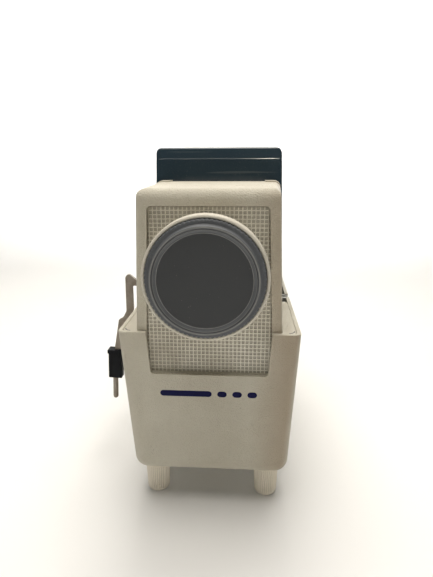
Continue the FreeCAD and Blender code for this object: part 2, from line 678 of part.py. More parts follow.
def condenser_elements():
    """Heat glass and two condenser lenses, front to back."""
    y0 = CONDENSER_FRONT_Y
    radius = CONDENSER_RADIUS
    return {"heat_glass": rod(on_axis(y0 + 1.2), radius, 2.4),
            "condenser_front": lens_blank(y0 + 5.0, y0 + 11.4, radius, 4.6, 0),
            "condenser_rear": lens_blank(y0 + 12.2, y0 + 18.8, radius, 0, 4.8)}


# ---- lamp house ---------------------------------------------------------
LAMP_Y = 160.0
FAN_Y = 172.0
COVER_BAND = 10.0           # height of the leaning bands under the cover's top
COVER_BAND_LEAN = 2.2       # how far a band leans in at its top
REAR_LOUVRES = 8
REAR_LOUVRE_PITCH = 8.0
REAR_LOUVRE_Z = 176.0
SIDE_LOUVRES = 9
SIDE_LOUVRE_PITCH = 7.5
SIDE_LOUVRE_Y = 146.0
SIDE_LOUVRE_ENDS = (226.0, 252.0)
LOUVRE_WIDTH = 3.0
BRIDGE_Z = 146.0            # top of the bridge that carries the lamp
BRIDGE_HALF = 46.0
BRIDGE_Y = (128.0, 206.0)
HOUSE_HALF = 34.0           # the chimney round the lamp
HOUSE_Y = (130.0, 192.0)
HOUSE_TOP_Z = 248.0
HOUSE_WALL = 1.0
HOUSE_SLOTS = 5
HOUSE_SLOT_PITCH = 16.0
BULB_RADIUS = 6.8
PIN_X = 3.2


def cover_half(z):
    """Half width of the lamp cover's outside at a height."""
    share = (z - COVER_FOOT_Z) / (COVER_TOP_Z - COVER_FOOT_Z)
    return COVER_HALF_FOOT + (COVER_HALF_TOP - COVER_HALF_FOOT) * share


def cover_louvres():
    """Vent slots through the rear wall and along both sides near the top."""
    slots = []
    for i in range(REAR_LOUVRES):
        z = REAR_LOUVRE_Z + i * REAR_LOUVRE_PITCH
        slots += both_sides(block(3, 38, COVER_REAR_Y - 4, COVER_REAR_Y + 1, z, z + LOUVRE_WIDTH))
    for i in range(SIDE_LOUVRES):
        y = SIDE_LOUVRE_Y + i * SIDE_LOUVRE_PITCH
        slots += both_sides(block(50, 70, y, y + LOUVRE_WIDTH, *SIDE_LOUVRE_ENDS))
    return slots


def cover_profile(inset):
    """The cover's side outline, with leaning bands along its front and rear top, run across."""
    y0 = COVER_FRONT_Y + inset
    y1 = COVER_REAR_Y - inset
    z_top = COVER_TOP_Z - inset
    z_band = COVER_TOP_Z - COVER_BAND
    z_low = COVER_FOOT_Z - 1
    corners = [(y0, z_low), (y1, z_low), (y1, z_band), (y1 - COVER_BAND_LEAN, z_top),
               (y0 + COVER_BAND_LEAN, z_top), (y0, z_band)]
    points = [Vec(-TUB_HALF, y, z) for y, z in corners]
    return outline_prism(points, [0, 0, 7, 3 - inset, 3 - inset, 7], Vec(2 * TUB_HALF, 0, 0))


def lamp_cover():
    """Lift-off cover of the lamp house, open below and where the beam comes out."""
    outer = trapezoid(COVER_HALF_FOOT, COVER_HALF_TOP, COVER_FOOT_Z, COVER_TOP_Z,
                      COVER_FRONT_Y, COVER_REAR_Y, 0, 6)
    outer = outer.makeFillet(2.6, end_outline(outer, COVER_FRONT_Y) + end_outline(outer, COVER_REAR_Y))
    outer = outer.common(cover_profile(0))
    top = COVER_TOP_Z - COVER_WALL
    y0 = COVER_FRONT_Y + COVER_WALL
    y1 = COVER_REAR_Y - COVER_WALL
    inner = trapezoid(cover_half(COVER_FOOT_Z - 1) - COVER_WALL, cover_half(top) - COVER_WALL,
                      COVER_FOOT_Z - 1, top, y0, y1, 0, 5)
    inner = inner.common(cover_profile(COVER_WALL))
    beam = trapezoid(40, 36, COVER_FOOT_Z - 2, 226, COVER_FRONT_Y - 1, COVER_FRONT_Y + 4, 0, 4)
    return cut_all(outer.cut(inner), [beam] + cover_louvres())


def lamp_house():
    """Inner steel chimney round the lamp, open above and below, with a beam hole."""
    y0, y1 = HOUSE_Y
    height = HOUSE_TOP_Z - BRIDGE_Z
    half = HOUSE_HALF
    outer = Part.Face(rectangle_section(BRIDGE_Z, half, y0, y1, 3)).extrude(Vec(0, 0, height))
    inner = rectangle_section(BRIDGE_Z - 1, half - HOUSE_WALL, y0 + HOUSE_WALL, y1 - HOUSE_WALL, 2)
    house = outer.cut(Part.Face(inner).extrude(Vec(0, 0, height + 2)))
    house = house.cut(rod(on_axis(y0 - 2), 24, 5))
    front_foot = block(-half, half, y0 - 3, y0 + 7, BRIDGE_Z, BRIDGE_Z + SHEET)
    front_foot = front_foot.cut(block(-30, 30, y0 + HOUSE_WALL, y0 + 8, BRIDGE_Z - 1, BRIDGE_Z + 3))
    rear_foot = block(-half, half, y1 - 7, y1 + 12, BRIDGE_Z, BRIDGE_Z + SHEET)
    rear_foot = rear_foot.cut(block(-30, 30, y1 - 8, y1 - HOUSE_WALL, BRIDGE_Z - 1, BRIDGE_Z + 3))
    house = fuse([house, front_foot, rear_foot])
    slots = []
    for i in range(HOUSE_SLOTS):
        z = BRIDGE_Z + 12 + i * HOUSE_SLOT_PITCH
        slots += both_sides(block(half - 4, half + 2, y0 + 12, y1 - 12, z, z + 4))
    return cut_all(house, slots)


def lamp_bridge():
    """Steel bridge over the fan that carries the lamp house and the socket."""
    y0, y1 = BRIDGE_Y
    half = BRIDGE_HALF
    top = block(-half, half, y0, y1, BRIDGE_Z - SHEET, BRIDGE_Z)
    legs = both_sides(block(half - SHEET, half, y0 + 22, y1 - 6, PLATE_Z, BRIDGE_Z))
    bridge = fuse([top] + legs)
    opening = rod(Vec(0, FAN_Y, BRIDGE_Z - 6), 30, 10, Z_AXIS)
    web = block(-9, 9, y0, y1, BRIDGE_Z - 2, BRIDGE_Z)
    windows = both_sides(block(half - 6, half + 2, y0 + 30, y1 - 14, 48, 88))
    return cut_all(bridge, [opening.cut(web)] + windows)


def lamp_socket():
    """Ceramic socket with two pin holes."""
    body = block(-10, 10, LAMP_Y - 7, LAMP_Y + 7, BRIDGE_Z, BRIDGE_Z + 16)
    body = body.makeFillet(1.5, edges_where(body, lambda e: e.BoundBox.ZLength > 10))
    return cut_all(body, both_sides(rod(Vec(PIN_X, LAMP_Y, BRIDGE_Z + 4), 0.9, 20, Z_AXIS)))


def lamp_bulb():
    """Quartz capsule with its pinch seal."""
    z_capsule = AXIS_Z - 12
    z_dome = AXIS_Z + 8
    capsule = rod(Vec(0, LAMP_Y, z_capsule), BULB_RADIUS, z_dome - z_capsule, Z_AXIS)
    dome = Part.makeSphere(BULB_RADIUS, Vec(0, LAMP_Y, z_dome))
    pinch = block(-6, 6, LAMP_Y - 2.2, LAMP_Y + 2.2, BRIDGE_Z + 18, z_capsule + 2)
    return fuse([capsule, dome, pinch])


def lamp_pins():
    """Two contact pins below the capsule."""
    return both_sides(rod(Vec(PIN_X, LAMP_Y, BRIDGE_Z + 5), 0.8, 13, Z_AXIS))


def reflector():
    """Spherical mirror behind the lamp, on its own foot."""
    radius = 30
    ball = Vec(0, LAMP_Y - 6, AXIS_Z)
    shell = Part.makeSphere(radius + 1, ball).cut(Part.makeSphere(radius, ball))
    shell = shell.common(rod(on_axis(LAMP_Y + 14), 22, 30))
    foot = block(-5, 5, LAMP_Y + 21.5, LAMP_Y + 23, BRIDGE_Z, AXIS_Z - 12)
    return fuse([shell, foot.cut(Part.makeSphere(radius + 0.5, ball))])


# ---- fan ----------------------------------------------------------------
FAN_Z = 100.0
FAN_HALF = 42.0
FAN_HEIGHT = 24.0
FAN_BORE = 39.5
FAN_HOLE_X = 37.0
FAN_STRUT_HALF = 2.0
FAN_STRUT_HEIGHT = 2.5
FAN_BLADES = 7
BLADE_PITCH = 48            # degrees
HUB_RADIUS = 16.0
MOTOR_RADIUS = 13.0
MOTOR_HEIGHT = 11.0
SPINDLE_RADIUS = 1.5


def fan_frame():
    """Square frame of the cooling fan, with the struts that hold its motor."""
    frame = block(-FAN_HALF, FAN_HALF, FAN_Y - FAN_HALF, FAN_Y + FAN_HALF, FAN_Z, FAN_Z + FAN_HEIGHT)
    frame = frame.makeFillet(4, edges_where(frame, lambda e: e.BoundBox.ZLength > 20))
    frame = frame.cut(rod(Vec(0, FAN_Y, FAN_Z - 1), FAN_BORE, FAN_HEIGHT + 2, Z_AXIS))
    half = FAN_STRUT_HALF
    reach = FAN_BORE + 1
    z_top = FAN_Z + FAN_STRUT_HEIGHT
    struts = [block(-reach, reach, FAN_Y - half, FAN_Y + half, FAN_Z, z_top),
              block(-half, half, FAN_Y - reach, FAN_Y + reach, FAN_Z, z_top)]
    holes = []
    for y in (FAN_Y - FAN_HOLE_X, FAN_Y + FAN_HOLE_X):
        holes += both_sides(rod(Vec(FAN_HOLE_X, y, FAN_Z - 1), 2.1, FAN_HEIGHT + 2, Z_AXIS))
    return cut_all(fuse([frame] + struts), holes)


def fan_motor():
    """Stator can on the struts with the fixed spindle."""
    z_can = FAN_Z + FAN_STRUT_HEIGHT
    can = rod(Vec(0, FAN_Y, z_can), MOTOR_RADIUS, MOTOR_HEIGHT, Z_AXIS)
    spindle = rod(Vec(0, FAN_Y, z_can + MOTOR_HEIGHT), SPINDLE_RADIUS, 4.8, Z_AXIS)
    return fuse([can, spindle])


def fan_rotor():
    """Hub cup that turns on the spindle, with pitched blades."""
    cup = rod(Vec(0, FAN_Y, FAN_Z + 5), HUB_RADIUS, 16, Z_AXIS)
    cup = cup.cut(rod(Vec(0, FAN_Y, FAN_Z + 4), HUB_RADIUS - 1.8, 11, Z_AXIS))
    cup = cup.cut(rod(Vec(0, FAN_Y, FAN_Z + 13), SPINDLE_RADIUS + RUNNING_FIT, 5.8, Z_AXIS))
    cup = cup.makeFillet(1.5, edges_where(cup, lambda e: e.BoundBox.ZMin > FAN_Z + 20.9))
    blades = []
    for k in range(FAN_BLADES):
        blade = Part.makeBox(22.4, 1.6, 15)
        blade.translate(Vec(HUB_RADIUS - 0.8, -0.8, -7.5))
        blade.rotate(Vec(0, 0, 0), X_AXIS, BLADE_PITCH)
        blade.rotate(Vec(0, 0, 0), Z_AXIS, 360 / FAN_BLADES * k)
        blade.translate(Vec(0, FAN_Y, FAN_Z + 13))
        blades.append(blade)
    return fuse([cup] + blades)


def fan_brackets():
    """Two angle brackets that hang the fan from the bridge's legs."""
    plate = block(FAN_HALF, BRIDGE_HALF - SHEET, FAN_Y - 20, FAN_Y + 20, FAN_Z, FAN_Z + FAN_HEIGHT)
    return both_sides(plate)


# ---- electrics ----------------------------------------------------------
CORE_HALF = 33.0            # transformer core
CORE_Y = (34.0, 72.0)
CORE_Z = (40.0, 95.0)
CORE_WINDOW_X = (11.0, 22.0)
CORE_WINDOW_Z = (51.0, 84.0)
STRAP_Y = (45.0, 61.0)
PANEL_SHEET = 2.0
PANEL_FACE_Y = PANEL_Y + PANEL_SHEET
PANEL_SCREW_X = 41.0
PANEL_SCREW_ZS = (57.0, 115.0)
PANEL_SCREW_RADIUS = 1.3
INLET_X = (-36.0, -8.0)
INLET_Z = (60.0, 81.0)
SWITCH_X = (14.0, 34.0)
SWITCH_Z = (60.0, 88.0)
RIM_STEP = 1.5              # how far a fitting's rim stands out of the panel
FUSE_X = -22.0              # fuse holder's axis on the panel
FUSE_Z = 93.0
FUSE_RADIUS = 6.5


def transformer_core():
    """Laminated core with two windows."""
    core = block(-CORE_HALF, CORE_HALF, *CORE_Y, *CORE_Z)
    windows = both_sides(block(*CORE_WINDOW_X, CORE_Y[0] - 4, CORE_Y[1] + 8, *CORE_WINDOW_Z))
    return cut_all(core, windows)


def transformer_coil():
    """Winding round the core's middle leg."""
    x0, x1 = CORE_WINDOW_X
    z0, z1 = CORE_WINDOW_Z
    outer = rectangle_section(z0 + 1, x1 - 0.5, CORE_Y[0] - 8.5, CORE_Y[1] + 8.5, 4)
    coil = Part.Face(outer).extrude(Vec(0, 0, z1 - z0 - 2))
    return coil.cut(block(-x0, x0, *CORE_Y, z0 - 1, z1 + 1))


def transformer_strap():
    """U strap that clamps the core down to the chassis plate."""
    y0, y1 = STRAP_Y
    z_top = CORE_Z[1]
    outside = CORE_HALF + SHEET
    legs = both_sides(block(CORE_HALF, outside, y0, y1, PLATE_Z, z_top))
    top = block(-outside, outside, y0, y1, z_top, z_top + SHEET)
    feet = both_sides(block(CORE_HALF, CORE_HALF + 12, y0, y1, PLATE_Z, PLATE_Z + SHEET))
    cradle = block(-CORE_HALF, CORE_HALF, y0 + 2, y1 - 2, PLATE_Z, CORE_Z[0])
    return fuse(legs + [top, cradle] + feet)


def rear_panel():
    """Connection panel behind the window in the tub's rear wall."""
    y0 = PANEL_Y - 1
    y1 = PANEL_FACE_Y + 1
    panel = block(-PANEL_HALF, PANEL_HALF, PANEL_Y, PANEL_FACE_Y, PANEL_LOW_Z, PANEL_HIGH_Z)
    holes = [block(*INLET_X, y0, y1, *INLET_Z), block(*SWITCH_X, y0, y1, *SWITCH_Z),
             rod(Vec(FUSE_X, y0, FUSE_Z), FUSE_RADIUS, y1 - y0)]
    for z in PANEL_SCREW_ZS:
        holes += both_sides(rod(Vec(PANEL_SCREW_X, y0, z), PANEL_SCREW_RADIUS, y1 - y0))
    return cut_all(panel, holes)


def panel_screws():
    screws = []
    for x in (-PANEL_SCREW_X, PANEL_SCREW_X):
        for z in PANEL_SCREW_ZS:
            screws.append(screw(Vec(x, PANEL_FACE_Y, z), Y_AXIS, 2.4, 1.5, PANEL_SCREW_RADIUS, 6))
    return screws


def inlet_socket():
    """Mains inlet: a deep socket with a rim that bears on the panel."""
    x0, x1 = INLET_X
    z0, z1 = INLET_Z
    body = block(x0, x1, PANEL_Y - 20, PANEL_FACE_Y, z0, z1)
    rim = block(x0 - 2, x1 + 2, PANEL_FACE_Y, PANEL_FACE_Y + RIM_STEP, z0 - 2, z1 + 2)
    rim = rim.makeFillet(1.2, edges_where(rim, lambda e: e.BoundBox.YLength > 1))
    wall = 2.5
    cavity = block(x0 + wall, x1 - wall, PANEL_Y - 15, PANEL_Y + 5, z0 + wall, z1 - wall)
    return fuse([body, rim]).cut(cavity)


def inlet_pins():
    """Three flat contact blades inside the inlet."""
    middle_x = sum(INLET_X) / 2
    middle_z = sum(INLET_Z) / 2
    pins = []
    for offset in (-6, 0, 6):
        x = middle_x + offset
        pins.append(block(x - 1, x + 1, PANEL_Y - 15, PANEL_Y - 1, middle_z - 3, middle_z + 3))
    return pins


def switch_bezel():
    """Frame and body of the mains switch."""
    x0, x1 = SWITCH_X
    z0, z1 = SWITCH_Z
    body = block(x0, x1, PANEL_Y - 14, PANEL_FACE_Y, z0, z1)
    rim = block(x0 - 1.5, x1 + 1.5, PANEL_FACE_Y, PANEL_FACE_Y + RIM_STEP, z0 - 1.5, z1 + 1.5)
    cavity = block(x0 + 1.8, x1 - 1.8, PANEL_Y - 10, PANEL_Y + 6, z0 + 2, z1 - 2)
    return fuse([body, rim]).cut(cavity)


def switch_rocker():
    """Rocker that tips about a level pivot."""
    y_pivot = PANEL_Y - 2
    z_pivot = sum(SWITCH_Z) / 2
    x0 = SWITCH_X[0] + 2.1
    points = [Vec(x0, y_pivot - 4.5, z_pivot - 8), Vec(x0, y_pivot - 4.5, z_pivot + 8),
              Vec(x0, y_pivot + 4.4, z_pivot + 10.6), Vec(x0, y_pivot + 3.2, z_pivot),
              Vec(x0, y_pivot + 6.4, z_pivot - 10.6)]
    return outline_prism(points, [1, 1, 0.8, 20, 0.8], Vec(SWITCH_X[1] - 2.1 - x0, 0, 0))


def fuse_holder():
    body = tube(Vec(FUSE_X, PANEL_Y - 24, FUSE_Z), FUSE_RADIUS, 4.2, 24 + PANEL_SHEET)
    flange = tube(Vec(FUSE_X, PANEL_FACE_Y, FUSE_Z), 8, 5.5, RIM_STEP)
    return fuse([body.cut(rod(Vec(FUSE_X, PANEL_Y - 3, FUSE_Z), 5.5, 6)), flange])


def fuse_cap():
    """Screw cap of the fuse holder with its coin slot, and the fuse it carries."""
    head = rod(Vec(FUSE_X, PANEL_Y + 3.7, FUSE_Z), 6.6, 2.8)
    plug = rod(Vec(FUSE_X, PANEL_Y - 2.6, FUSE_Z), 5.2, 6.4)
    link = rod(Vec(FUSE_X, PANEL_Y - 20, FUSE_Z), 2.6, 18)
    slot = block(FUSE_X - 7, FUSE_X + 7, PANEL_Y + 5.4, PANEL_Y + 8, FUSE_Z - 0.7, FUSE_Z + 0.7)
    return fuse([head, plug, link]).cut(slot)


# ---- feet ---------------------------------------------------------------
def foot_bush(side):
    """Brass bush in the tub's floor that the levelling stud slides in."""
    point = Vec(side * FOOT_X, FOOT_FRONT_Y, TUB_FLOOR_Z)
    outer = rod(point, BUSH_RADIUS, 16, Z_AXIS)
    collar = rod(point + Vec(0, 0, TUB_WALL), BUSH_RADIUS + 0.6, 2, Z_AXIS)
    return fuse([outer, collar]).cut(rod(point - Vec(0, 0, 1), STUD_RADIUS + RUNNING_FIT, 20, Z_AXIS))


def foot_stud(side):
    """Levelling stud that the knob turns on."""
    return rod(Vec(side * FOOT_X, FOOT_FRONT_Y, STUD_LOW_Z), STUD_RADIUS, STUD_LENGTH, Z_AXIS)


def foot_knob(side):
    """Tapered knob under the tub, rounded at its lower edge."""
    point = Vec(side * FOOT_X, FOOT_FRONT_Y, 0)
    knob = round_foot(Part.makeCone(FOOT_END_RADIUS, FOOT_RADIUS, KNOB_HEIGHT, point, Z_AXIS), 2.2)
    return knob.cut(rod(point + Vec(0, 0, STUD_LOW_Z - 0.1), STUD_RADIUS + RUNNING_FIT, 40, Z_AXIS))


def rear_foot(side):
    """Fixed rear leg, spigoted into the tub's floor."""
    point = Vec(side * FOOT_X, FOOT_REAR_Y, PAD_HEIGHT)
    leg = Part.makeCone(FOOT_END_RADIUS, FOOT_RADIUS, TUB_FLOOR_Z - PAD_HEIGHT, point, Z_AXIS)
    spigot = rod(point, BUSH_RADIUS, TUB_FLOOR_Z + TUB_WALL - PAD_HEIGHT, Z_AXIS)
    return fuse([leg, spigot])


def rear_pads():
    """Rubber pads under the rear legs."""
    pad = rod(Vec(FOOT_X, FOOT_REAR_Y, 0), FOOT_END_RADIUS - 0.5, PAD_HEIGHT, Z_AXIS)
    return both_sides(round_foot(pad, 1.0))


# ---- write every node ---------------------------------------------------
def main():
    os.makedirs("parts", exist_ok=True)
    write("tub_shell", tub_shell())
    write("deck_plate", deck_plate())
    write("chassis_plate", chassis_plate())
    write("base_screws", base_screws())
    write("head_shell", head_shell())
    write("grille_panel", grille_panel())
    write("front_bulkhead", front_bulkhead())
    write("lens_mount", lens_mount())
    write("mount_screws", mount_screws())
    write("focus_ring", focus_ring())
    write("lens_barrel", lens_barrel())
    write("front_bezel", front_bezel())
    for name, shape in lens_elements().items():
        write(name, shape)
    write("lens_spacers", [spacer(-8, 14), spacer(20, 34)])
    write("lens_retainers", [retainer(-23.5, -19), retainer(44, 48)])
    write("lens_cap", lens_cap())
    write("gate_front_plate", gate_plate(GATE_Y - RAIL_HALF_Y - SHEET))
    write("gate_rear_plate", gate_plate(GATE_Y + RAIL_HALF_Y))
    write("gate_springs", gate_springs())
    write("channel_rail", channel_rail())
    write("changer_slider", changer_slider())
    write("changer_frame", changer_frame())
    arm = changer_arm()
    write("changer_arm", arm)
    write("changer_grip", changer_grip(arm))
    write("condenser_holder", condenser_holder())
    for name, shape in condenser_elements().items():
        write(name, shape)
    write("lamp_cover", lamp_cover())
    write("lamp_house", lamp_house())
    write("lamp_bridge", lamp_bridge())
    write("lamp_socket", lamp_socket())
    write("lamp_bulb", lamp_bulb())
    write("lamp_pins", lamp_pins())
    write("reflector", reflector())
    write("fan_frame", fan_frame())
    write("fan_motor", fan_motor())
    write("fan_rotor", fan_rotor())
    write("fan_brackets", fan_brackets())
    write("transformer_core", transformer_core())
    write("transformer_coil", transformer_coil())
    write("transformer_strap", transformer_strap())
    write("rear_panel", rear_panel())
    write("panel_screws", panel_screws())
    write("inlet_socket", inlet_socket())
    write("inlet_pins", inlet_pins())
    write("switch_bezel", switch_bezel())
    write("switch_rocker", switch_rocker())
    write("fuse_holder", fuse_holder())
    write("fuse_cap", fuse_cap())
    write("foot_bushes", [foot_bush(-1), foot_bush(1)])
    for side, word in ((-1, "left"), (1, "right")):
        write("foot_stud_" + word, foot_stud(side))
        write("foot_knob_" + word, foot_knob(side))
        write("rear_foot_" + word, rear_foot(side))
    write("rear_pads", rear_pads())


main()
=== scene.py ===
"""Slide projector: the looks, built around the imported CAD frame. Metres, Z up, lens side towards -Y."""
import bpy
import bmesh
import json
import math
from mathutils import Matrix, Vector


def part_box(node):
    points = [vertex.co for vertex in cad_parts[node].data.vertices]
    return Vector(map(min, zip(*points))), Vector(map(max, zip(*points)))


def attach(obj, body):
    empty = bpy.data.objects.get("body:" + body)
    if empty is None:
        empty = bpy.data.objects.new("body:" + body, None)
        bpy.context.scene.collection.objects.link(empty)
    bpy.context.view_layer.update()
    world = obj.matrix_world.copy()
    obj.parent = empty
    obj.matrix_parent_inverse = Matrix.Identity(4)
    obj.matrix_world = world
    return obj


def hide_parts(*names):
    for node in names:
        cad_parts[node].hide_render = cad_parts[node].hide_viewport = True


MM = 0.001
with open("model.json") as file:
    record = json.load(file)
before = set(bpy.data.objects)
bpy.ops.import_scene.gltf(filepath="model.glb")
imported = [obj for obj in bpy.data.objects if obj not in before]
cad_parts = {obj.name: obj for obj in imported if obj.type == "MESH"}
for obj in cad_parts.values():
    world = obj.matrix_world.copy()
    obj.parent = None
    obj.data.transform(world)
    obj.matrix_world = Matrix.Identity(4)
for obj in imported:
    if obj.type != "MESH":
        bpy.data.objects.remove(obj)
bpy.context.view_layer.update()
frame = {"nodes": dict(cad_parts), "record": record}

# ---- places that every piece is worked out from ---------------------------
TUB_LOW, TUB_HIGH = [Vector(corner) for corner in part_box("tub_shell")]
RING_LOW, RING_HIGH = [Vector(corner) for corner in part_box("focus_ring")]
MIDDLE_X = (TUB_LOW.x + TUB_HIGH.x) / 2     # the plane of symmetry, through the optical axis
FRONT_Y = TUB_LOW.y                         # front face of the tub at its rim
AXIS_Z = (RING_LOW.z + RING_HIGH.z) / 2
RIM_Z = TUB_HIGH.z
DRAFT = 0.041                               # slope of the tub's walls, a tangent
RECESS_HALF_FOOT = 46.0 * MM                # half width of the head's front opening at its foot
RECESS_FOOT = 112.5 * MM
RECESS_TOP = 232.4 * MM
RECESS_DRAFT = 0.045                        # slope of the opening's sides, a tangent
WELL_DEPTH = 0.5 * MM                       # from the front of the waffle panel's box to its wells

# ---- tones that several finishes share ------------------------------------
SPECK_BROWN = (0.16, 0.12, 0.08)
STAIN_BROWN = (0.15, 0.10, 0.07)
# painted shade in hollows and creases
CREASE_SHADE_TONE = (0.20, 0.165, 0.12)
# painted shadow where the waffle panel meets the frame round it
RECESS_SHADOW_TONE = (0.16, 0.135, 0.10)
# painted shade on the right side of what faces forward
RIGHT_SIDE_SHADE = (0.400, 0.318, 0.228)
CREAM = (0.625, 0.595, 0.505)
CREAM_SHADE = (0.560, 0.522, 0.430)
WAFFLE_CREAM = (0.860, 0.832, 0.745)
# painted shadow in the waffle's wells and down its ribs' sides
WELL_SHADOW_TONE = (0.345, 0.320, 0.265)


# ---- mesh helpers ---------------------------------------------------------
def add_mesh(name, verts, faces, material, smooth_angle=35.0):
    """A new object from points and faces, smooth except across sharp edges."""
    mesh = bpy.data.meshes.new(name)
    mesh.from_pydata([tuple(v) for v in verts], [], faces)
    mesh.update()
    mesh.validate()
    mesh.polygons.foreach_set("use_smooth", [True] * len(mesh.polygons))
    mesh.set_sharp_from_angle(angle=math.radians(smooth_angle))
    mesh.materials.append(material)
    piece = bpy.data.objects.new(name, mesh)
    bpy.context.scene.collection.objects.link(piece)
    return piece


def settle(piece, body, slot, *nodes):
    """Ride a piece on its body and hide the CAD nodes that it stands for; slot is not used."""
    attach(piece, body)
    if nodes:
        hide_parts(*nodes)


def y_axis_place(along, radius, angle):
    """A point about the optical axis."""
    return Vector((MIDDLE_X + radius * math.cos(angle), along, AXIS_Z + radius * math.sin(angle)))


def upright_place(x, y):
    """Points about an upright axis: the profile runs along Z."""
    def place(along, radius, angle):
        return Vector((x + radius * math.cos(angle), y + radius * math.sin(angle), along))
    return place


def lathe(profile, segments, place, shape=None):
    """Points and faces of a turned solid.

    profile is a closed outline of (along, radius). A point on the axis closes the
    solid there. shape(index, angle) may add to the radius.
    """
    verts = []
    rings = []
    for index, (along, radius) in enumerate(profile):
        if radius <= 0:
            verts.append(place(along, 0.0, 0.0))
            rings.append([len(verts) - 1])
            continue
        ring = []
        for k in range(segments):
            angle = math.tau * k / segments
            extra = shape(index, angle) if shape else 0.0
            verts.append(place(along, radius + extra, angle))
            ring.append(len(verts) - 1)
        rings.append(ring)
    faces = []
    count = len(rings)
    for i in range(count):
        a = rings[i]
        b = rings[(i + 1) % count]
        if len(a) == 1 and len(b) == 1:
            continue
        for k in range(segments):
            j = (k + 1) % segments
            if len(a) == 1:
                faces.append((a[0], b[k], b[j]))
            elif len(b) == 1:
                faces.append((a[j], a[k], b[0]))
            else:
                faces.append((a[k], b[k], b[j], a[j]))
    return verts, faces


def outward(piece):
    """Make a closed mesh's normals point outwards."""
    mesh = piece.data
    work = bmesh.new()
    work.from_mesh(mesh)
    bmesh.ops.recalc_face_normals(work, faces=work.faces)
    work.to_mesh(mesh)
    work.free()
    mesh.update()
    return piece


def arc_points(centre, radius, start, end, steps):
    """Points of an arc in the (along, radius) plane, angles in degrees."""
    points = []
    for i in range(steps + 1):
        angle = math.radians(start + (end - start) * i / steps)
        points.append((centre[0] + radius * math.cos(angle), centre[1] + radius * math.sin(angle)))
    return points


def soften(piece, width):
    """Round a piece's sharp edges."""
    bevel = piece.modifiers.new("soft_edges", "BEVEL")
    bevel.width = width
    bevel.segments = 2
    bevel.limit_method = "ANGLE"
    bevel.angle_limit = math.radians(30.0)
    bevel.harden_normals = False


# ---- material helpers -----------------------------------------------------
class Graph:
    """A material's node tree with short calls for what the materials share."""

    def __init__(self, name):
        self.material = bpy.data.materials.new(name)
        self.material.use_nodes = True
        self.tree = self.material.node_tree
        self.shader = self.tree.nodes["Principled BSDF"]
        self.place = self.tree.nodes.new("ShaderNodeTexCoord").outputs["Object"]

    def node(self, kind, **settings):
        made = self.tree.nodes.new(kind)
        for key, value in settings.items():
            setattr(made, key, value)
        return made

    def link(self, source, target):
        self.tree.links.new(source, target)

    def stretched(self, scale):
        """The object's own coordinates, stretched along its axes."""
        mapping = self.node("ShaderNodeMapping")
        mapping.inputs["Scale"].default_value = scale
        self.link(self.place, mapping.inputs["Vector"])
        return mapping.outputs["Vector"]

    def noise(self, scale, detail=3.0, rough=0.55, where=None):
        made = self.node("ShaderNodeTexNoise")
        made.inputs["Scale"].default_value = scale
        made.inputs["Detail"].default_value = detail
        made.inputs["Roughness"].default_value = rough
        self.link(where or self.place, made.inputs["Vector"])
        return made.outputs["Fac"]

    def cells(self, scale):
        made = self.node("ShaderNodeTexVoronoi", feature="F1")
        made.inputs["Scale"].default_value = scale
        self.link(self.place, made.inputs["Vector"])
        return made.outputs["Distance"]

    def spread(self, value, low, high, out_low=0.0, out_high=1.0):
        """A value's range mapped to another, clamped."""
        made = self.node("ShaderNodeMapRange")
        made.inputs["From Min"].default_value = low
        made.inputs["From Max"].default_value = high
        made.inputs["To Min"].default_value = out_low
        made.inputs["To Max"].default_value = out_high
        self.link(value, made.inputs["Value"])
        return made.outputs["Result"]

    def math(self, operation, a, b):
        made = self.node("ShaderNodeMath", operation=operation)
        for socket, value in zip(made.inputs, (a, b)):
            if isinstance(value, (int, float)):
                socket.default_value = value
            else:
                self.link(value, socket)
        return made.outputs["Value"]

    def mix(self, factor, a, b):
        """Colours a and b mixed; each is a colour or a socket. 6, 7 and 2 are the node's colour sockets."""
        made = self.node("ShaderNodeMix", data_type="RGBA")
        self.link(factor, made.inputs["Factor"])
        for socket, value in ((made.inputs[6], a), (made.inputs[7], b)):
            if isinstance(value, (tuple, list)):
                socket.default_value = (*value[:3], 1.0)
            else:
                self.link(value, socket)
        return made.outputs[2]

    def bump(self, height, strength, distance, under=None):
        made = self.node("ShaderNodeBump")
        made.inputs["Strength"].default_value = strength
        made.inputs["Distance"].default_value = distance
        self.link(height, made.inputs["Height"])
        if under is not None:
            self.link(under, made.inputs["Normal"])
        return made.outputs["Normal"]

    def finish(self, colour, roughness, normal=None, **values):
        self.link(colour, self.shader.inputs["Base Color"])
        self.link(roughness, self.shader.inputs["Roughness"])
        if normal is not None:
            self.link(normal, self.shader.inputs["Normal"])
        for key, value in values.items():
            self.shader.inputs[key.replace("_", " ")].default_value = value
        return self.material


def axis_distance(g):
    """Distance from the optical axis, from the object's own coordinates."""
    mapping = g.node("ShaderNodeMapping", vector_type="POINT")
    mapping.inputs["Location"].default_value = (-MIDDLE_X, 0.0, -AXIS_Z)
    g.link(g.place, mapping.inputs["Vector"])
    flat = g.node("ShaderNodeVectorMath", operation="MULTIPLY")
    flat.inputs[1].default_value = (1.0, 0.0, 1.0)
    g.link(mapping.outputs["Vector"], flat.inputs[0])
    length = g.node("ShaderNodeVectorMath", operation="LENGTH")
    g.link(flat.outputs["Vector"], length.inputs[0])
    return length.outputs["Value"]


# centre beside the middle plane, height and reach of the small marks on the tub's front, in mm
STAIN_SPOTS = ((-44.0, 47.0, 9.0), (-53.0, 40.0, 6.0), (34.0, 42.0, 8.0), (6.0, 70.0, 4.0))


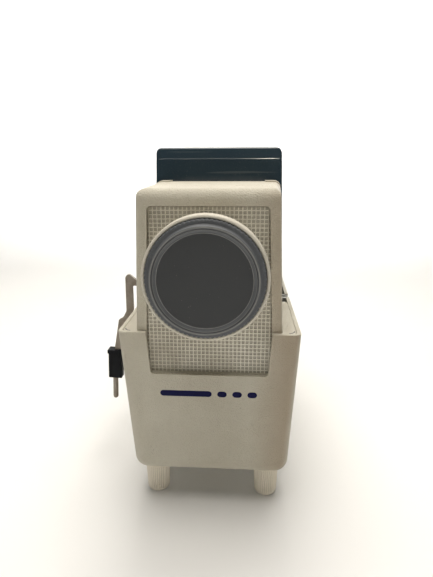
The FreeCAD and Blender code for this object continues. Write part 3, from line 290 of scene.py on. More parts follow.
def stain_patch(g, colour, x, z, reach, strength):
    """A loose cluster of small dark specks about a point of the front."""
    shift = g.node("ShaderNodeVectorMath", operation="SUBTRACT")
    shift.inputs[1].default_value = (MIDDLE_X + x * MM, FRONT_Y, z * MM)
    g.link(g.place, shift.inputs[0])
    length = g.node("ShaderNodeVectorMath", operation="LENGTH")
    g.link(shift.outputs["Vector"], length.inputs[0])
    near = g.spread(length.outputs["Value"], reach * MM, reach * 0.4 * MM)
    dots = g.spread(g.cells(640.0), 0.34, 0.20)
    sparse = g.spread(g.noise(420.0, 2.0), 0.50, 0.58)
    mask = g.math("MULTIPLY", g.math("MULTIPLY", near, dots), sparse)
    return g.mix(g.math("MULTIPLY", mask, 0.35 + strength), colour, STAIN_BROWN)


def moulded_cream(name, base, shade, grain=1.0, stains=0.0, groove=0.6):
    """Aged cream moulding: leather-fine grain, yellow patches, dull wear, small specks, painted shade in
    grooves.

    With stains it also has the marks on the tub's front and painted shade: a browner right side on what
    faces forward.
    """
    g = Graph(name)
    patches = g.noise(14.0, 4.0, 0.6)
    colour = g.mix(g.spread(patches, 0.35, 0.68), base, shade)
    streaks = g.noise(90.0, 3.0, 0.6, g.stretched((1.0, 1.0, 0.25)))
    colour = g.mix(g.spread(streaks, 0.52, 0.8, 0.0, 0.28), colour, tuple(c * 0.86 for c in shade))
    mottle = g.noise(900.0, 2.0, 0.6)
    colour = g.mix(g.spread(mottle, 0.38, 0.7, 0.0, 0.20), colour, tuple(min(1.0, c * 1.12) for c in base))
    # painted shade: hollows and creases darkened by pointiness
    point = g.node("ShaderNodeNewGeometry").outputs["Pointiness"]
    colour = g.mix(g.spread(point, 0.485, 0.40, 0.0, groove), colour, CREASE_SHADE_TONE)
    specks = g.cells(210.0)
    speck_mask = g.math("MULTIPLY", g.spread(specks, 0.10, 0.06), g.spread(g.noise(23.0, 2.0), 0.60, 0.66))
    colour = g.mix(g.math("MULTIPLY", speck_mask, 0.30 + stains), colour, SPECK_BROWN)
    if stains:
        for x, z, reach in STAIN_SPOTS:
            colour = stain_patch(g, colour, x, z, reach, stains)
    # painted shade: the right side of what faces forward made browner and darker
    if stains:
        split = g.node("ShaderNodeSeparateXYZ")
        g.link(g.place, split.inputs[0])
        facing = g.node("ShaderNodeSeparateXYZ")
        g.link(g.node("ShaderNodeTexCoord").outputs["Normal"], facing.inputs[0])
        to_right = g.spread(split.outputs["X"], MIDDLE_X + 30.0 * MM, MIDDLE_X + 56.0 * MM, 0.0, 0.75)
        painted_right_shade = g.math("MULTIPLY", to_right, g.spread(facing.outputs["Y"], -0.45, -0.90))
        colour = g.mix(painted_right_shade, colour, RIGHT_SIDE_SHADE)
    fine = g.noise(2600.0, 2.0, 0.5)
    pebbles = g.cells(1150.0)
    height = g.math("ADD", g.math("MULTIPLY", fine, 0.5), g.math("MULTIPLY", pebbles, 0.8))
    normal = g.bump(height, 0.80 * grain, 0.00045)
    waves = g.noise(46.0, 3.0, 0.5)
    normal = g.bump(waves, 0.08, 0.0010, normal)
    rough = g.spread(g.math("ADD", g.math("MULTIPLY", patches, 0.6), g.math("MULTIPLY", streaks, 0.4)),
                     0.35, 0.65, 0.46, 0.62)
    return g.finish(colour, rough, normal, Specular_IOR_Level=0.32)


def recess_shadow_mask(g, split, across):
    """How near a point of the panel is to the frame round it, as the strength of the painted shadow there.
    """
    lean = g.math("MULTIPLY", g.math("SUBTRACT", split.outputs["Z"], RECESS_FOOT), RECESS_DRAFT)
    side_gap = g.math("SUBTRACT", RECESS_HALF_FOOT, g.math("ADD", across, lean))
    top_gap = g.math("SUBTRACT", RECESS_TOP, split.outputs["Z"])
    return g.spread(g.math("MINIMUM", side_gap, top_gap), 1.6 * MM, 0.2 * MM, 0.0, 0.75)


def waffle_moulding():
    """The cream moulding, darkened down the ribs' sides and in the wells as painted shadow, and along the
    frame as painted shade.
    """
    g = Graph("waffle_moulding")
    split = g.node("ShaderNodeSeparateXYZ")
    g.link(g.place, split.inputs[0])
    well_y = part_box("grille_panel")[0][1] + WELL_DEPTH
    fall = g.spread(split.outputs["Y"], well_y - 0.62 * MM, well_y - 0.34 * MM)
    floor_share = g.spread(split.outputs["Y"], well_y - 0.12 * MM, well_y - 0.01 * MM, 0.0, 0.12)
    depth = g.math("SUBTRACT", fall, floor_share)
    patches = g.noise(16.0, 4.0, 0.6)
    colour = g.mix(g.spread(patches, 0.35, 0.68), WAFFLE_CREAM, CREAM_SHADE)
    # painted shadow: the ribs' sides and the wells darkened, in a blotchy pattern
    painted_well_shadow = g.math("MULTIPLY", depth, g.spread(g.noise(160.0, 4.0, 0.6), 0.25, 0.75, 0.55, 0.95))
    colour = g.mix(painted_well_shadow, colour, WELL_SHADOW_TONE)
    across = g.math("ABSOLUTE", g.math("SUBTRACT", split.outputs["X"], MIDDLE_X), 0.0)
    # painted shadow along the frame round the panel
    colour = g.mix(recess_shadow_mask(g, split, across), colour, RECESS_SHADOW_TONE)
    fine = g.noise(2600.0, 2.0, 0.5)
    normal = g.bump(fine, 0.18, 0.00012)
    rough = g.spread(g.math("ADD", patches, depth), 0.4, 1.5, 0.46, 0.66)
    return g.finish(colour, rough, normal, Specular_IOR_Level=0.40)


def stoved_enamel():
    """Dark blue-grey gloss enamel over sheet metal, with orange peel, dust and hairline scratches."""
    g = Graph("stoved_enamel")
    tone = g.noise(9.0, 3.0, 0.5)
    colour = g.mix(g.spread(tone, 0.35, 0.65), (0.0265, 0.0450, 0.0630), (0.0305, 0.0490, 0.0650))
    dust = g.noise(700.0, 2.0, 0.6)
    colour = g.mix(g.spread(dust, 0.60, 0.82, 0.0, 0.12), colour, (0.22, 0.22, 0.20))
    hairs = g.noise(260.0, 2.0, 0.45, g.stretched((0.04, 1.0, 1.0)))
    scratch = g.spread(hairs, 0.70, 0.74)
    colour = g.mix(g.math("MULTIPLY", scratch, 0.30), colour, (0.12, 0.14, 0.15))
    peel = g.noise(420.0, 2.0, 0.4)
    normal = g.bump(peel, 0.05, 0.0004)
    normal = g.bump(scratch, 0.05, 0.0002, normal)
    dulling = g.math("ADD", g.noise(30.0, 4.0), g.math("MULTIPLY", scratch, 0.2))
    rough = g.spread(dulling, 0.3, 0.8, 0.07, 0.17)
    return g.finish(colour, rough, normal, Specular_IOR_Level=0.55)


# radius and half width in mm, strength and tone of the rings on the cap: the pale narrow ones are painted
# highlights on the rims' edges, the dark one painted shade in its groove, the wide one a scuffed band on the
# grip edge
CAP_HIGHLIGHT_AND_SHADE_LINES = ((30.35, 0.26, 0.85, (0.34, 0.34, 0.33)), (32.9, 0.32, 0.75, (0.025, 0.025, 0.028)),
                (33.9, 0.45, 0.75, (0.34, 0.335, 0.31)), (32.3, 0.25, 0.45, (0.30, 0.295, 0.27)),
                (36.6, 1.70, 0.55, (0.085, 0.092, 0.104)))


def cap_moulding(name, centre_tone, edge_tone, radius):
    """Matte dark moulding whose tone changes from its middle outwards, with painted highlight and shade
    lines on its rims, turned marks and dust.
    """
    g = Graph(name)
    reach = axis_distance(g)
    tone = g.spread(reach, radius * 0.975, radius * 1.005)
    colour = g.mix(tone, centre_tone, edge_tone)
    cloud = g.noise(34.0, 4.0, 0.6)
    colour = g.mix(g.spread(cloud, 0.42, 0.72, 0.0, 0.22), colour, tuple(c * 1.25 for c in centre_tone))
    # painted highlights and shade along the rims, and scuffing on the grip edge, broken up by noise
    for line, half, strength, tone in CAP_HIGHLIGHT_AND_SHADE_LINES:
        gap = g.math("ABSOLUTE", g.math("SUBTRACT", reach, line * MM), 0.0)
        mask = g.spread(gap, half * MM, half * 0.4 * MM, 0.0, strength)
        worn = g.math("MULTIPLY", mask, g.spread(g.noise(120.0, 3.0, 0.6), 0.25, 0.65, 0.55, 1.0))
        colour = g.mix(worn, colour, tone)
    dust = g.cells(330.0)
    dust_mask = g.math("MULTIPLY", g.spread(dust, 0.12, 0.05), g.spread(g.noise(60.0, 2.0), 0.55, 0.66))
    colour = g.mix(g.math("MULTIPLY", dust_mask, 0.35), colour, (0.30, 0.29, 0.26))
    rings = g.noise(1900.0, 1.0, 0.5)
    normal = g.bump(rings, 0.10, 0.00010)
    rough = g.spread(cloud, 0.3, 0.7, 0.46, 0.62)
    return g.finish(colour, rough, normal, Specular_IOR_Level=0.40)


def satin(name, base, alternate, rough_low, rough_high, metallic=0.0, specular=0.45):
    """A plain satin finish with cloudy tone, fine grain and uneven gloss."""
    g = Graph(name)
    cloud = g.noise(60.0, 4.0, 0.6)
    colour = g.mix(g.spread(cloud, 0.35, 0.68), base, alternate)
    fine = g.noise(1500.0, 2.0, 0.6)
    paler = tuple(min(1.0, c * 1.5 + 0.02) for c in base)
    colour = g.mix(g.spread(fine, 0.55, 0.85, 0.0, 0.15), colour, paler)
    normal = g.bump(fine, 0.08, 0.00015)
    rough = g.spread(g.noise(138.0, 3.0), 0.3, 0.7, rough_low, rough_high)
    return g.finish(colour, rough, normal, Metallic=metallic, Specular_IOR_Level=specular)


def brushed(name, base, alternate, stretch, rough_low=0.28, rough_high=0.46):
    """Plated or brushed metal: long fine lines, blotches and dulled patches."""
    g = Graph(name)
    lines = g.noise(700.0, 3.0, 0.6, g.stretched(stretch))
    blot = g.noise(70.0, 4.0, 0.6)
    colour = g.mix(g.spread(lines, 0.3, 0.7), base, alternate)
    colour = g.mix(g.spread(blot, 0.55, 0.8, 0.0, 0.35), colour, tuple(c * 0.6 for c in base))
    normal = g.bump(lines, 0.10, 0.0001)
    rough = g.spread(g.math("ADD", g.math("MULTIPLY", blot, 0.6), g.math("MULTIPLY", lines, 0.4)),
                     0.3, 0.7, rough_low, rough_high)
    return g.finish(colour, rough, normal, Metallic=1.0)


def worn_enamel(name, base, worn, metal):
    """Satin enamel on a handled steel part, rubbed darker in patches with small chips."""
    g = Graph(name)
    rub = g.noise(55.0, 4.0, 0.65)
    colour = g.mix(g.spread(rub, 0.42, 0.66), base, worn)
    chips = g.noise(420.0, 3.0, 0.6)
    chip_mask = g.math("MULTIPLY", g.spread(chips, 0.66, 0.70), g.spread(g.noise(90.0, 2.0), 0.55, 0.62))
    colour = g.mix(chip_mask, colour, metal)
    normal = g.bump(g.noise(1500.0, 2.0), 0.10, 0.0001)
    normal = g.bump(chip_mask, 0.30, 0.0001, normal)
    rough = g.spread(rub, 0.35, 0.7, 0.30, 0.48)
    return g.finish(colour, rough, normal, Metallic=0.15, Specular_IOR_Level=0.5)


def clear_glass(name, tint, roughness, ior):
    """Coated optical glass with faint dust in its gloss."""
    g = Graph(name)
    dust = g.noise(500.0, 3.0, 0.6)
    colour = g.mix(g.spread(dust, 0.5, 0.9, 0.0, 0.10), tint, (0.75, 0.78, 0.76))
    rough = g.spread(dust, 0.45, 0.8, roughness, roughness + 0.06)
    return g.finish(colour, rough, None, Transmission_Weight=0.92, IOR=ior, Coat_Weight=0.35)


def layered(name, dark, light, pitch, axis):
    """Fine parallel layers, as of laminations or a taped winding."""
    g = Graph(name)
    split = g.node("ShaderNodeSeparateXYZ")
    g.link(g.place, split.inputs[0])
    turns = g.math("FRACT", g.math("DIVIDE", split.outputs[axis], pitch), 0.0)
    edge = g.spread(g.math("ABSOLUTE", g.math("SUBTRACT", turns, 0.5), 0.0), 0.30, 0.46)
    cloud = g.noise(80.0, 4.0, 0.6)
    colour = g.mix(g.spread(cloud, 0.3, 0.7), dark, light)
    colour = g.mix(g.math("MULTIPLY", edge, 0.55), colour, tuple(c * 0.4 for c in dark))
    normal = g.bump(g.math("SUBTRACT", 1.0, edge), 0.35, 0.0002)
    rough = g.spread(cloud, 0.3, 0.7, 0.42, 0.60)
    return g.finish(colour, rough, normal, Specular_IOR_Level=0.4)


def ink():
    """Dark blue printing ink, slightly uneven."""
    g = Graph("print_ink")
    cloud = g.noise(600.0, 3.0, 0.6)
    colour = g.mix(g.spread(cloud, 0.4, 0.7), (0.003, 0.004, 0.048), (0.006, 0.008, 0.066))
    rough = g.spread(cloud, 0.3, 0.7, 0.36, 0.50)
    return g.finish(colour, rough, g.bump(cloud, 0.05, 0.0001), Specular_IOR_Level=0.1)


MATERIALS = {
    "cream_shell": moulded_cream("cream_moulding", CREAM, CREAM_SHADE, 1.5, 0.30, 0.15),
    "ring_cream": moulded_cream("ring_moulding", (0.660, 0.625, 0.545), (0.590, 0.550, 0.465), 0.5),
    "foot_cream": moulded_cream("foot_moulding", (0.860, 0.805, 0.700), (0.820, 0.760, 0.640), 0.5),
    "cover_blue": stoved_enamel(),
    "cap_grey": cap_moulding("cap_moulding", (0.047, 0.050, 0.055), (0.130, 0.138, 0.150), 30.4 * MM),
    "bezel_grey": satin("bezel_moulding", (0.060, 0.060, 0.062), (0.045, 0.045, 0.047), 0.40, 0.55),
    "black_metal": satin("black_anodised", (0.022, 0.022, 0.024), (0.034, 0.034, 0.036), 0.30, 0.48, 0.4),
    "black_plastic": satin("black_moulding", (0.006, 0.007, 0.009), (0.010, 0.011, 0.014), 0.50, 0.66,
                           specular=0.12),
    "nylon": satin("natural_nylon", (0.68, 0.66, 0.60), (0.60, 0.57, 0.50), 0.42, 0.55),
    "steel_plate": brushed("zinc_plate", (0.52, 0.52, 0.50), (0.62, 0.61, 0.57), (1.0, 1.0, 0.08)),
    "arm_steel": worn_enamel("arm_enamel", (0.300, 0.262, 0.215), (0.205, 0.165, 0.130),
                             (0.36, 0.33, 0.30)),
    "frame_black": satin("black_enamel", (0.018, 0.018, 0.018), (0.030, 0.030, 0.030), 0.34, 0.52),
    "screw_steel": brushed("plated_screws", (0.58, 0.57, 0.54), (0.68, 0.67, 0.63), (0.3, 1.0, 1.0)),
    "lens_glass": clear_glass("coated_glass", (0.92, 0.90, 0.97), 0.02, 1.52),
    "bulb_quartz": clear_glass("quartz", (0.97, 0.97, 0.96), 0.02, 1.46),
    "ceramic_socket": satin("steatite", (0.72, 0.70, 0.64), (0.64, 0.61, 0.54), 0.50, 0.68),
    "mirror_face": brushed("mirror_face", (0.82, 0.83, 0.85), (0.88, 0.88, 0.88), (1.0, 1.0, 1.0),
                           0.06, 0.14),
    "contact_brass": brushed("turned_brass", (0.68, 0.50, 0.22), (0.78, 0.60, 0.30), (1.0, 1.0, 0.2)),
    "motor_can": satin("motor_can", (0.030, 0.030, 0.032), (0.045, 0.045, 0.046), 0.32, 0.48, 0.5),
    "core_iron": layered("laminated_core", (0.11, 0.10, 0.095), (0.15, 0.135, 0.12), 0.0006, "Y"),
    "coil_wrap": layered("taped_winding", (0.44, 0.31, 0.08), (0.56, 0.42, 0.14), 0.0062, "Z"),
    "pad_rubber": satin("pad_rubber", (0.018, 0.018, 0.018), (0.032, 0.031, 0.030), 0.62, 0.82),
}
INK = ink()


def paint_nodes():
    """Give every carried-over CAD node the material of its slot."""
    for part in frame["record"]["subparts"]:
        node = frame["nodes"][part["node"]]
        material = MATERIALS[part["material_slot"]]
        node.data.materials.clear()
        node.data.materials.append(material)


# ---- waffle front ---------------------------------------------------------
WAFFLE_PITCH = 2.9 * MM
WAFFLE_RELIEF = 0.7 * MM        # how far the ribs stand up from the wells
WAFFLE_RIB_TOP = 0.30 * MM      # half width of a rib along its crest
WAFFLE_RIB_FOOT = 0.66 * MM     # half width of a rib where it meets the well
WAFFLE_SHEET = 1.3 * MM         # thickness of the panel
WAFFLE_DRAFT = 0.0417           # slope of the panel's sides, a tangent
LENS_HOLE = 37.0 * MM           # the opening behind the focusing ring


def rib_lines(low, high):
    """Places along one direction and whether each is on a rib's crest."""
    count = round((high - low) / WAFFLE_PITCH)
    pitch = (high - low) / count
    lines = []
    for i in range(count + 1):
        centre = low + pitch * i
        for step, crest in ((-WAFFLE_RIB_FOOT, 0.0), (-WAFFLE_RIB_TOP, 1.0),
                            (WAFFLE_RIB_TOP, 1.0), (WAFFLE_RIB_FOOT, 0.0)):
            if low - 1e-9 <= centre + step <= high + 1e-9:
                lines.append((centre + step, crest))
    return lines


def waffle_panel():
    """Grid of raised ribs over shallow wells, as one drafted panel with the lens opening."""
    low, high = [Vector(corner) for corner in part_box("grille_panel")]
    base_y = low.y + WELL_DEPTH
    half = (high.x - low.x) / 2
    across = rib_lines(-half, half)
    upward = rib_lines(low.z, high.z)
    verts = []
    for z, crest_z in upward:
        for x, crest_x in across:
            rise = WAFFLE_RELIEF * max(crest_x, crest_z)
            verts.append(Vector((MIDDLE_X + x, base_y - rise, z)))
    wide = len(across)
    faces = []
    for row in range(len(upward) - 1):
        for column in range(wide - 1):
            first = row * wide + column
            faces.append((first, first + 1, first + wide + 1, first + wide))
    piece = add_mesh("waffle_panel", verts, faces, waffle_moulding(), 25.0)
    open_lens_hole(piece.data, base_y)
    trim_sides(piece.data, low, high)
    thick = piece.modifiers.new("sheet", "SOLIDIFY")
    thick.thickness = WAFFLE_SHEET
    thick.offset = -1.0
    settle(piece, "housing", "cream_shell", "grille_panel")


def open_lens_hole(mesh, base_y):
    """Take the ribs away inside the lens opening and bring its edge to a true circle."""
    work = bmesh.new()
    work.from_mesh(mesh)
    centre = Vector((MIDDLE_X, AXIS_Z))
    near_edge = LENS_HOLE + 1.0 * MM

    def reach(vert):
        return (Vector((vert.co.x, vert.co.z)) - centre).length

    inside = [face for face in work.faces if all(reach(v) < LENS_HOLE for v in face.verts)]
    bmesh.ops.delete(work, geom=inside, context="FACES")
    for vert in work.verts:
        if reach(vert) < near_edge and any(edge.is_boundary for edge in vert.link_edges):
            offset = Vector((vert.co.x, vert.co.z)) - centre
            offset *= LENS_HOLE / offset.length
            vert.co.x = centre.x + offset.x
            vert.co.z = centre.y + offset.y
            vert.co.y = base_y
    work.to_mesh(mesh)
    work.free()


def trim_sides(mesh, low, high):
    """Cut the panel's sides to the head's draft."""
    half = (high.x - low.x) / 2
    work = bmesh.new()
    work.from_mesh(mesh)
    for side in (-1, 1):
        point = Vector((MIDDLE_X + side * half, 0.0, low.z))
        normal = Vector((side, 0.0, WAFFLE_DRAFT)).normalized()
        geometry = work.verts[:] + work.edges[:] + work.faces[:]
        bmesh.ops.bisect_plane(work, geom=geometry, plane_co=point, plane_no=normal, clear_outer=True)
    work.to_mesh(mesh)
    work.free()


# ---- lens front -----------------------------------------------------------
def knurl(depth, count, angle):
    """Depth of a row of round-topped ridges at an angle."""
    return -depth * (1.0 - abs(math.sin(count * angle / 2)))


def focus_ring():
    """Focusing ring: rounded front band, fine knurl on its side and the inner sleeve."""
    front = RING_LOW.y
    back = RING_HIGH.y
    outer = (RING_HIGH.x - RING_LOW.x) / 2
    recess = 38.7 * MM                  # inside of the front band
    bore = 35.95 * MM
    sleeve = bore + 2.5 * MM
    web = front + 9.5 * MM              # where the band steps down to the sleeve
    seat = front + 10.1 * MM            # floor of the recess that the cap stands in
    front_round = 1.7 * MM
    rear_round = 0.5 * MM
    profile = [(front + 1.4 * MM, recess), (front + 0.5 * MM, recess + 0.1 * MM),
               (front + 0.1 * MM, recess + 0.4 * MM), (front, recess + 0.8 * MM)]
    profile += arc_points((front + front_round, outer - front_round), front_round, 170, 90, 6)
    knurl_from = len(profile)
    profile += [(front + 2.6 * MM, outer), (front + 2.9 * MM, outer), (front + 4.6 * MM, outer),
                (front + 6.4 * MM, outer), (web - 1.0 * MM, outer), (web - 0.7 * MM, outer)]
    knurl_to = len(profile) - 1
    profile += arc_points((web - rear_round, outer - rear_round), rear_round, 90, 10, 3)
    profile += [(web + 1.2 * MM, sleeve + 0.3 * MM), (web + 1.6 * MM, sleeve), (back - 0.3 * MM, sleeve),
                (back, sleeve - 0.3 * MM), (back, bore), (seat, bore), (seat, recess)]
    ridges = 208
    ridge_depth = 0.28 * MM

    def shape(index, angle):
        if knurl_from < index < knurl_to:
            return knurl(ridge_depth, ridges, angle)
        return 0.0

    verts, faces = lathe(profile, ridges * 4, y_axis_place, shape)
    piece = outward(add_mesh("focusing_ring", verts, faces, MATERIALS["ring_cream"], 42.0))
    settle(piece, "focus_ring", "ring_cream", "focus_ring")


def lens_cap():
    """Push-on cap: scalloped grip edge, raised double-lined rim, cone and a very slightly domed disc."""
    low, high = [Vector(corner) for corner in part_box("lens_cap")]
    front = low.y
    back = high.y
    flange = (high.x - low.x) / 2 + 0.25 * MM   # radius over the grip edge
    disc = front + 1.9 * MM                     # the disc's face, at its edge
    disc_back = disc + 1.0 * MM
    shelf = front + 2.4 * MM                    # back of the cone and rim
    rim = 34.8 * MM
    step = front + 4.6 * MM                     # front face of the grip edge
    bore = 33.25 * MM
    profile = [(disc - 0.25 * MM, 0.0), (disc - 0.24 * MM, 8.0 * MM), (disc - 0.17 * MM, 16.0 * MM),
               (disc - 0.08 * MM, 23.0 * MM), (disc, 29.8 * MM)]
    # the raised line round the disc
    profile += [(disc, 30.05 * MM), (disc - 0.28 * MM, 30.2 * MM), (disc - 0.30 * MM, 30.5 * MM),
                (disc - 0.12 * MM, 30.75 * MM)]
    # up the cone, over the fine groove and the rim
    profile += [(front + 0.55 * MM, 32.4 * MM), (front + 0.42 * MM, 32.55 * MM),
                (front + 0.62 * MM, 32.7 * MM), (front + 0.55 * MM, 32.95 * MM),
                (front + 0.10 * MM, 33.25 * MM), (front, 33.5 * MM), (front, 34.2 * MM),
                (front + 0.12 * MM, 34.55 * MM), (front + 0.5 * MM, rim)]
    profile += [(step - 0.9 * MM, rim), (step - 0.55 * MM, rim + 0.12 * MM), (step, rim + 0.75 * MM)]
    edge_from = len(profile)
    profile += [(step, flange - 1.1 * MM), (step + 0.15 * MM, flange - 0.5 * MM), (step + 0.55 * MM, flange),
                (back - 0.5 * MM, flange), (back - 0.15 * MM, flange - 0.3 * MM), (back, flange - 0.9 * MM)]
    edge_to = len(profile) - 1
    profile += [(back, bore + 0.3 * MM), (back - 0.3 * MM, bore), (shelf, bore), (shelf, 30.0 * MM),
                (disc_back, 29.0 * MM), (disc_back, 0.0)]
    lobes = 80
    lobe_depth = 0.60 * MM

    def shape(index, angle):
        if edge_from < index < edge_to:
            return knurl(lobe_depth, lobes, angle)
        return 0.0

    verts, faces = lathe(profile, lobes * 8, y_axis_place, shape)
    piece = outward(add_mesh("push_on_cap", verts, faces, MATERIALS["cap_grey"], 30.0))
    settle(piece, "cap", "cap_grey", "lens_cap")


# ---- feet -----------------------------------------------------------------
def fluted_foot(name, node, body, is_knob):
    """Tapered foot with fine flutes that run out above its lower edge.

    A knob is bored for its stud, has a rounder lower edge and stands clear of the tub.
    """
    low, high = [Vector(corner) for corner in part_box(node)]
    x = (low.x + high.x) / 2
    y = (low.y + high.y) / 2
    foot = low.z
    top = TUB_LOW.z - (2.0 * MM if is_knob else 0.0)
    wide = 9.8 * MM                     # radius at the top
    narrow = 9.0 * MM                   # radius above the rounded lower edge
    curve = 2.6 * MM if is_knob else 0.5 * MM
    flutes_end = top - 0.6 * MM
    flute_depth = 0.75 * MM
    flutes = 34
    taper_steps = 10
    profile = [(foot, 0.0), (foot, 3.0 * MM), (foot + 0.25 * MM, 3.4 * MM), (foot + 0.25 * MM, 4.4 * MM),
               (foot, 4.8 * MM)]
    profile += arc_points((foot + curve, narrow - curve), curve, 180, 90, 6)
    flute_from = len(profile) - 2
    for i in range(1, taper_steps + 1):
        share = i / taper_steps
        z = foot + curve + (flutes_end - foot - curve) * share
        profile.append((z, narrow + (wide - narrow) * share))
    flute_to = len(profile) - 1
    profile += [(top - 0.15 * MM, wide - 0.25 * MM), (top, wide - 0.7 * MM)]
    if is_knob:
        bore = 4.05 * MM
        bore_end = foot + 5.9 * MM
        profile += [(top, bore), (bore_end, bore), (bore_end, 0.0)]
    else:
        profile += [(top, 0.0)]

    def shape(index, angle):
        if index < flute_from or index > flute_to:
            return 0.0
        fade = min(1.0, (index - flute_from) / 2.0)
        return -flute_depth * fade * (0.5 + 0.5 * math.cos(flutes * angle)) ** 2

    verts, faces = lathe(profile, flutes * 8, upright_place(x, y), shape)
    piece = outward(add_mesh(name, verts, faces, MATERIALS["foot_cream"], 40.0))
    settle(piece, body, "foot_cream", node)


def feet():
    for side in ("left", "right"):
        fluted_foot("front_knob_" + side, "foot_knob_" + side, "knob_" + side, True)
        fluted_foot("rear_leg_" + side, "rear_foot_" + side, "housing", False)


# ---- deck -----------------------------------------------------------------
def deck_slits():
    """The narrow dark gaps that hook round the deck's two front corners."""
    low, high = [Vector(corner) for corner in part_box("deck_plate")]
    radius = 4.2 * MM
    margin = 1.2 * MM                   # from the deck's edge to the slit's middle
    half = 0.40 * MM                    # half width of the slit
    top = high.z + 0.05 * MM
    bottom = high.z - 0.3 * MM
    section = ((half, top), (-half, top), (-half, bottom), (half, bottom))
    verts = []
    faces = []
    for side in (-1, 1):
        edge = low.x if side < 0 else high.x
        centre = Vector((edge - side * (margin + radius), low.y + margin + radius))
        first = len(verts)
        for angle in range(0, 91, 10):
            out_x = side * math.cos(math.radians(angle))
            out_y = -math.sin(math.radians(angle))
            for reach, z in section:
                verts.append((centre.x + (radius + reach) * out_x, centre.y + (radius + reach) * out_y, z))
        last = len(verts) - len(section)
        for base in range(first, last, 4):
            for j in range(4):
                a = base + j
                b = base + (j + 1) % 4
                faces.append((a, b, b + 4, a + 4))
        faces.append((first, first + 1, first + 2, first + 3))
        faces.append((last + 3, last + 2, last + 1, last))
    piece = outward(add_mesh("deck_slits", verts, faces, MATERIALS["frame_black"]))
    settle(piece, "housing", "frame_black")


# ---- front mark -----------------------------------------------------------
BAR_HEIGHT = 97.0                       # of the bars' middle above the floor, in mm like the next two
BAR_HALF = 2.4
BAR_ENDS = ((-36.0, 2.0), (6.0, 13.0), (17.0, 24.0), (28.0, 35.0))      # beside the middle plane


def tub_front(x, z, lift):
    """A point just in front of the tub's drafted front face."""
    return Vector((MIDDLE_X + x, FRONT_Y + (RIM_Z - z) * DRAFT - lift, z))


def front_mark():
    """Plain printed mark: a long bar and three short ones, with rounded ends."""
    verts = []
    faces = []
    for left, right in BAR_ENDS:
        outline = []
        for centre, start in ((right - BAR_HALF, -90), (left + BAR_HALF, 90)):
            outline += arc_points((centre, BAR_HEIGHT), BAR_HALF, start, start + 180, 8)
        first = len(verts)
        count = len(outline)
        for lift in (0.06 * MM, -0.2 * MM):
            verts += [tub_front(x * MM, z * MM, lift) for x, z in outline]
        faces.append(tuple(range(first, first + count)))
        faces.append(tuple(range(first + 2 * count - 1, first + count - 1, -1)))
        for k in range(count):
            j = (k + 1) % count
            faces.append((first + k, first + count + k, first + count + j, first + j))
    piece = outward(add_mesh("front_mark", verts, faces, INK))
    settle(piece, "housing", "black_plastic")


# ---- camera, light and floor ----------------------------------------------
def camera():
    """Camera at the viewing angle, placed from the tub's front face and the floor."""
    data = bpy.data.cameras.new("camera")
    data.sensor_width = 36.0
    data.lens = 27.078
    data.clip_start = 0.02
    data.clip_end = 50.0
    view = bpy.data.objects.new("camera", data)
    view.location = (MIDDLE_X + 23.676 * MM, FRONT_Y - 282.317 * MM, 256.41 * MM)
    view.rotation_euler = [math.radians(a) for a in (74.4674, 0.1406, 3.5829)]
    bpy.context.scene.collection.objects.link(view)
    bpy.context.scene.camera = view


def area_light(name, place, aim, size, power, colour, spread=180.0):
    """A rectangular light, in metres and watts, that faces a point."""
    data = bpy.data.lights.new(name, "AREA")
    data.spread = math.radians(spread)
    data.shape = "RECTANGLE"
    data.size = size[0]
    data.size_y = size[1]
    data.energy = power
    data.color = colour
    light = bpy.data.objects.new(name, data)
    light.location = place
    direction = Vector(aim) - Vector(place)
    light.rotation_euler = direction.to_track_quat("-Z", "Y").to_euler()
    bpy.context.scene.collection.objects.link(light)


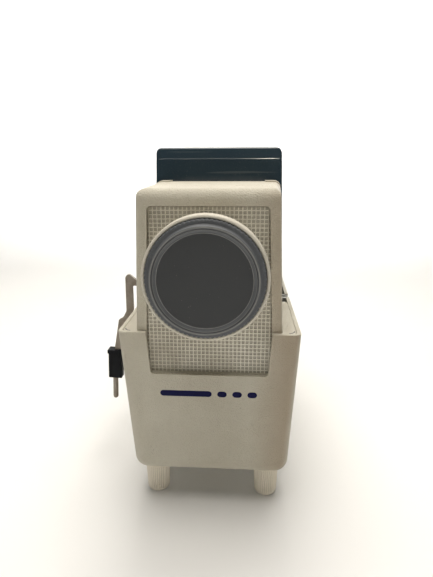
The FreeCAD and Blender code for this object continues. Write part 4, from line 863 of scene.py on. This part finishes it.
def lights():
    """Broad light from above, a key behind, weak fills, two strips for the cover, and the backdrop's own."""
    daylight = (1.0, 0.955, 0.88)
    area_light("overhead", (0.02, -0.06, 1.45), (0.0, 0.0, 0.15), (1.1, 0.85), 20.6, daylight)
    area_light("back_key", (-0.05, 0.55, 1.25), (0.0, 0.0, 0.20), (0.5, 0.25), 5.0, daylight)
    area_light("left_fill", (-1.4, -1.0, 0.9), (0.0, 0.0, 0.12), (0.9, 0.9), 0.20, (0.93, 1.0, 0.97))
    area_light("right_fill", (1.1, -0.9, 0.7), (0.0, 0.0, 0.10), (0.8, 0.8), 0.25, (1.0, 0.86, 0.72))
    area_light("front_strip", (-0.08, -1.9, 0.72), (0.0, 0.0, 0.26), (0.72, 0.03), 1.7, (1.0, 0.97, 0.90))
    area_light("hot_strip", (0.17, -1.9, 0.72), (0.0, 0.0, 0.26), (0.08, 0.02), 3.0, (1.0, 0.94, 0.80))
    area_light("backdrop_wash", (0.0, 0.80, 1.7), (0.0, 1.6, 0.7), (2.4, 0.5), 22.0, (1.0, 0.99, 0.97), 80.0)


def surroundings():
    """Pale where the camera sees past the backdrop, and nearly no light from there on the object."""
    seen = 0.80
    lighting = 0.020
    world = bpy.data.worlds.new("studio")
    world.use_nodes = True
    tree = world.node_tree
    background = tree.nodes["Background"]
    background.inputs["Color"].default_value = (0.93, 0.97, 1.0, 1.0)
    rays = tree.nodes.new("ShaderNodeLightPath")
    strength = tree.nodes.new("ShaderNodeMath")
    strength.operation = "MULTIPLY_ADD"
    strength.inputs[1].default_value = seen
    strength.inputs[2].default_value = lighting
    tree.links.new(rays.outputs["Is Camera Ray"], strength.inputs[0])
    tree.links.new(strength.outputs[0], background.inputs["Strength"])
    bpy.context.scene.world = world


def floor():
    """Pale floor that curves up into a backdrop."""
    half = 3.0
    near = -3.0
    back = 1.6
    radius = 0.8
    height = 3.0
    profile = [(near, 0.0), (back - radius, 0.0)]
    profile += arc_points((back - radius, radius), radius, -80, 0, 8)
    profile += [(back, height)]
    verts = []
    faces = []
    for y, z in profile:
        verts += [(-half, y, z), (half, y, z)]
    for i in range(len(profile) - 1):
        faces.append((2 * i, 2 * i + 1, 2 * i + 3, 2 * i + 2))
    g = Graph("floor_paper")
    cloud = g.noise(3.0, 2.0)
    colour = g.mix(g.spread(cloud, 0.3, 0.7), (0.86, 0.86, 0.855), (0.88, 0.88, 0.875))
    rough = g.spread(cloud, 0.3, 0.7, 0.88, 0.94)
    sheet = add_mesh("floor", verts, faces, g.finish(colour, rough, None, Specular_IOR_Level=0.1))


camera()
floor()
lights()
surroundings()
bpy.context.scene.view_settings.view_transform = "Standard"
paint_nodes()
waffle_panel()
focus_ring()
lens_cap()
feet()
deck_slits()
front_mark()
soften(frame["nodes"]["changer_arm"], 0.5 * MM)
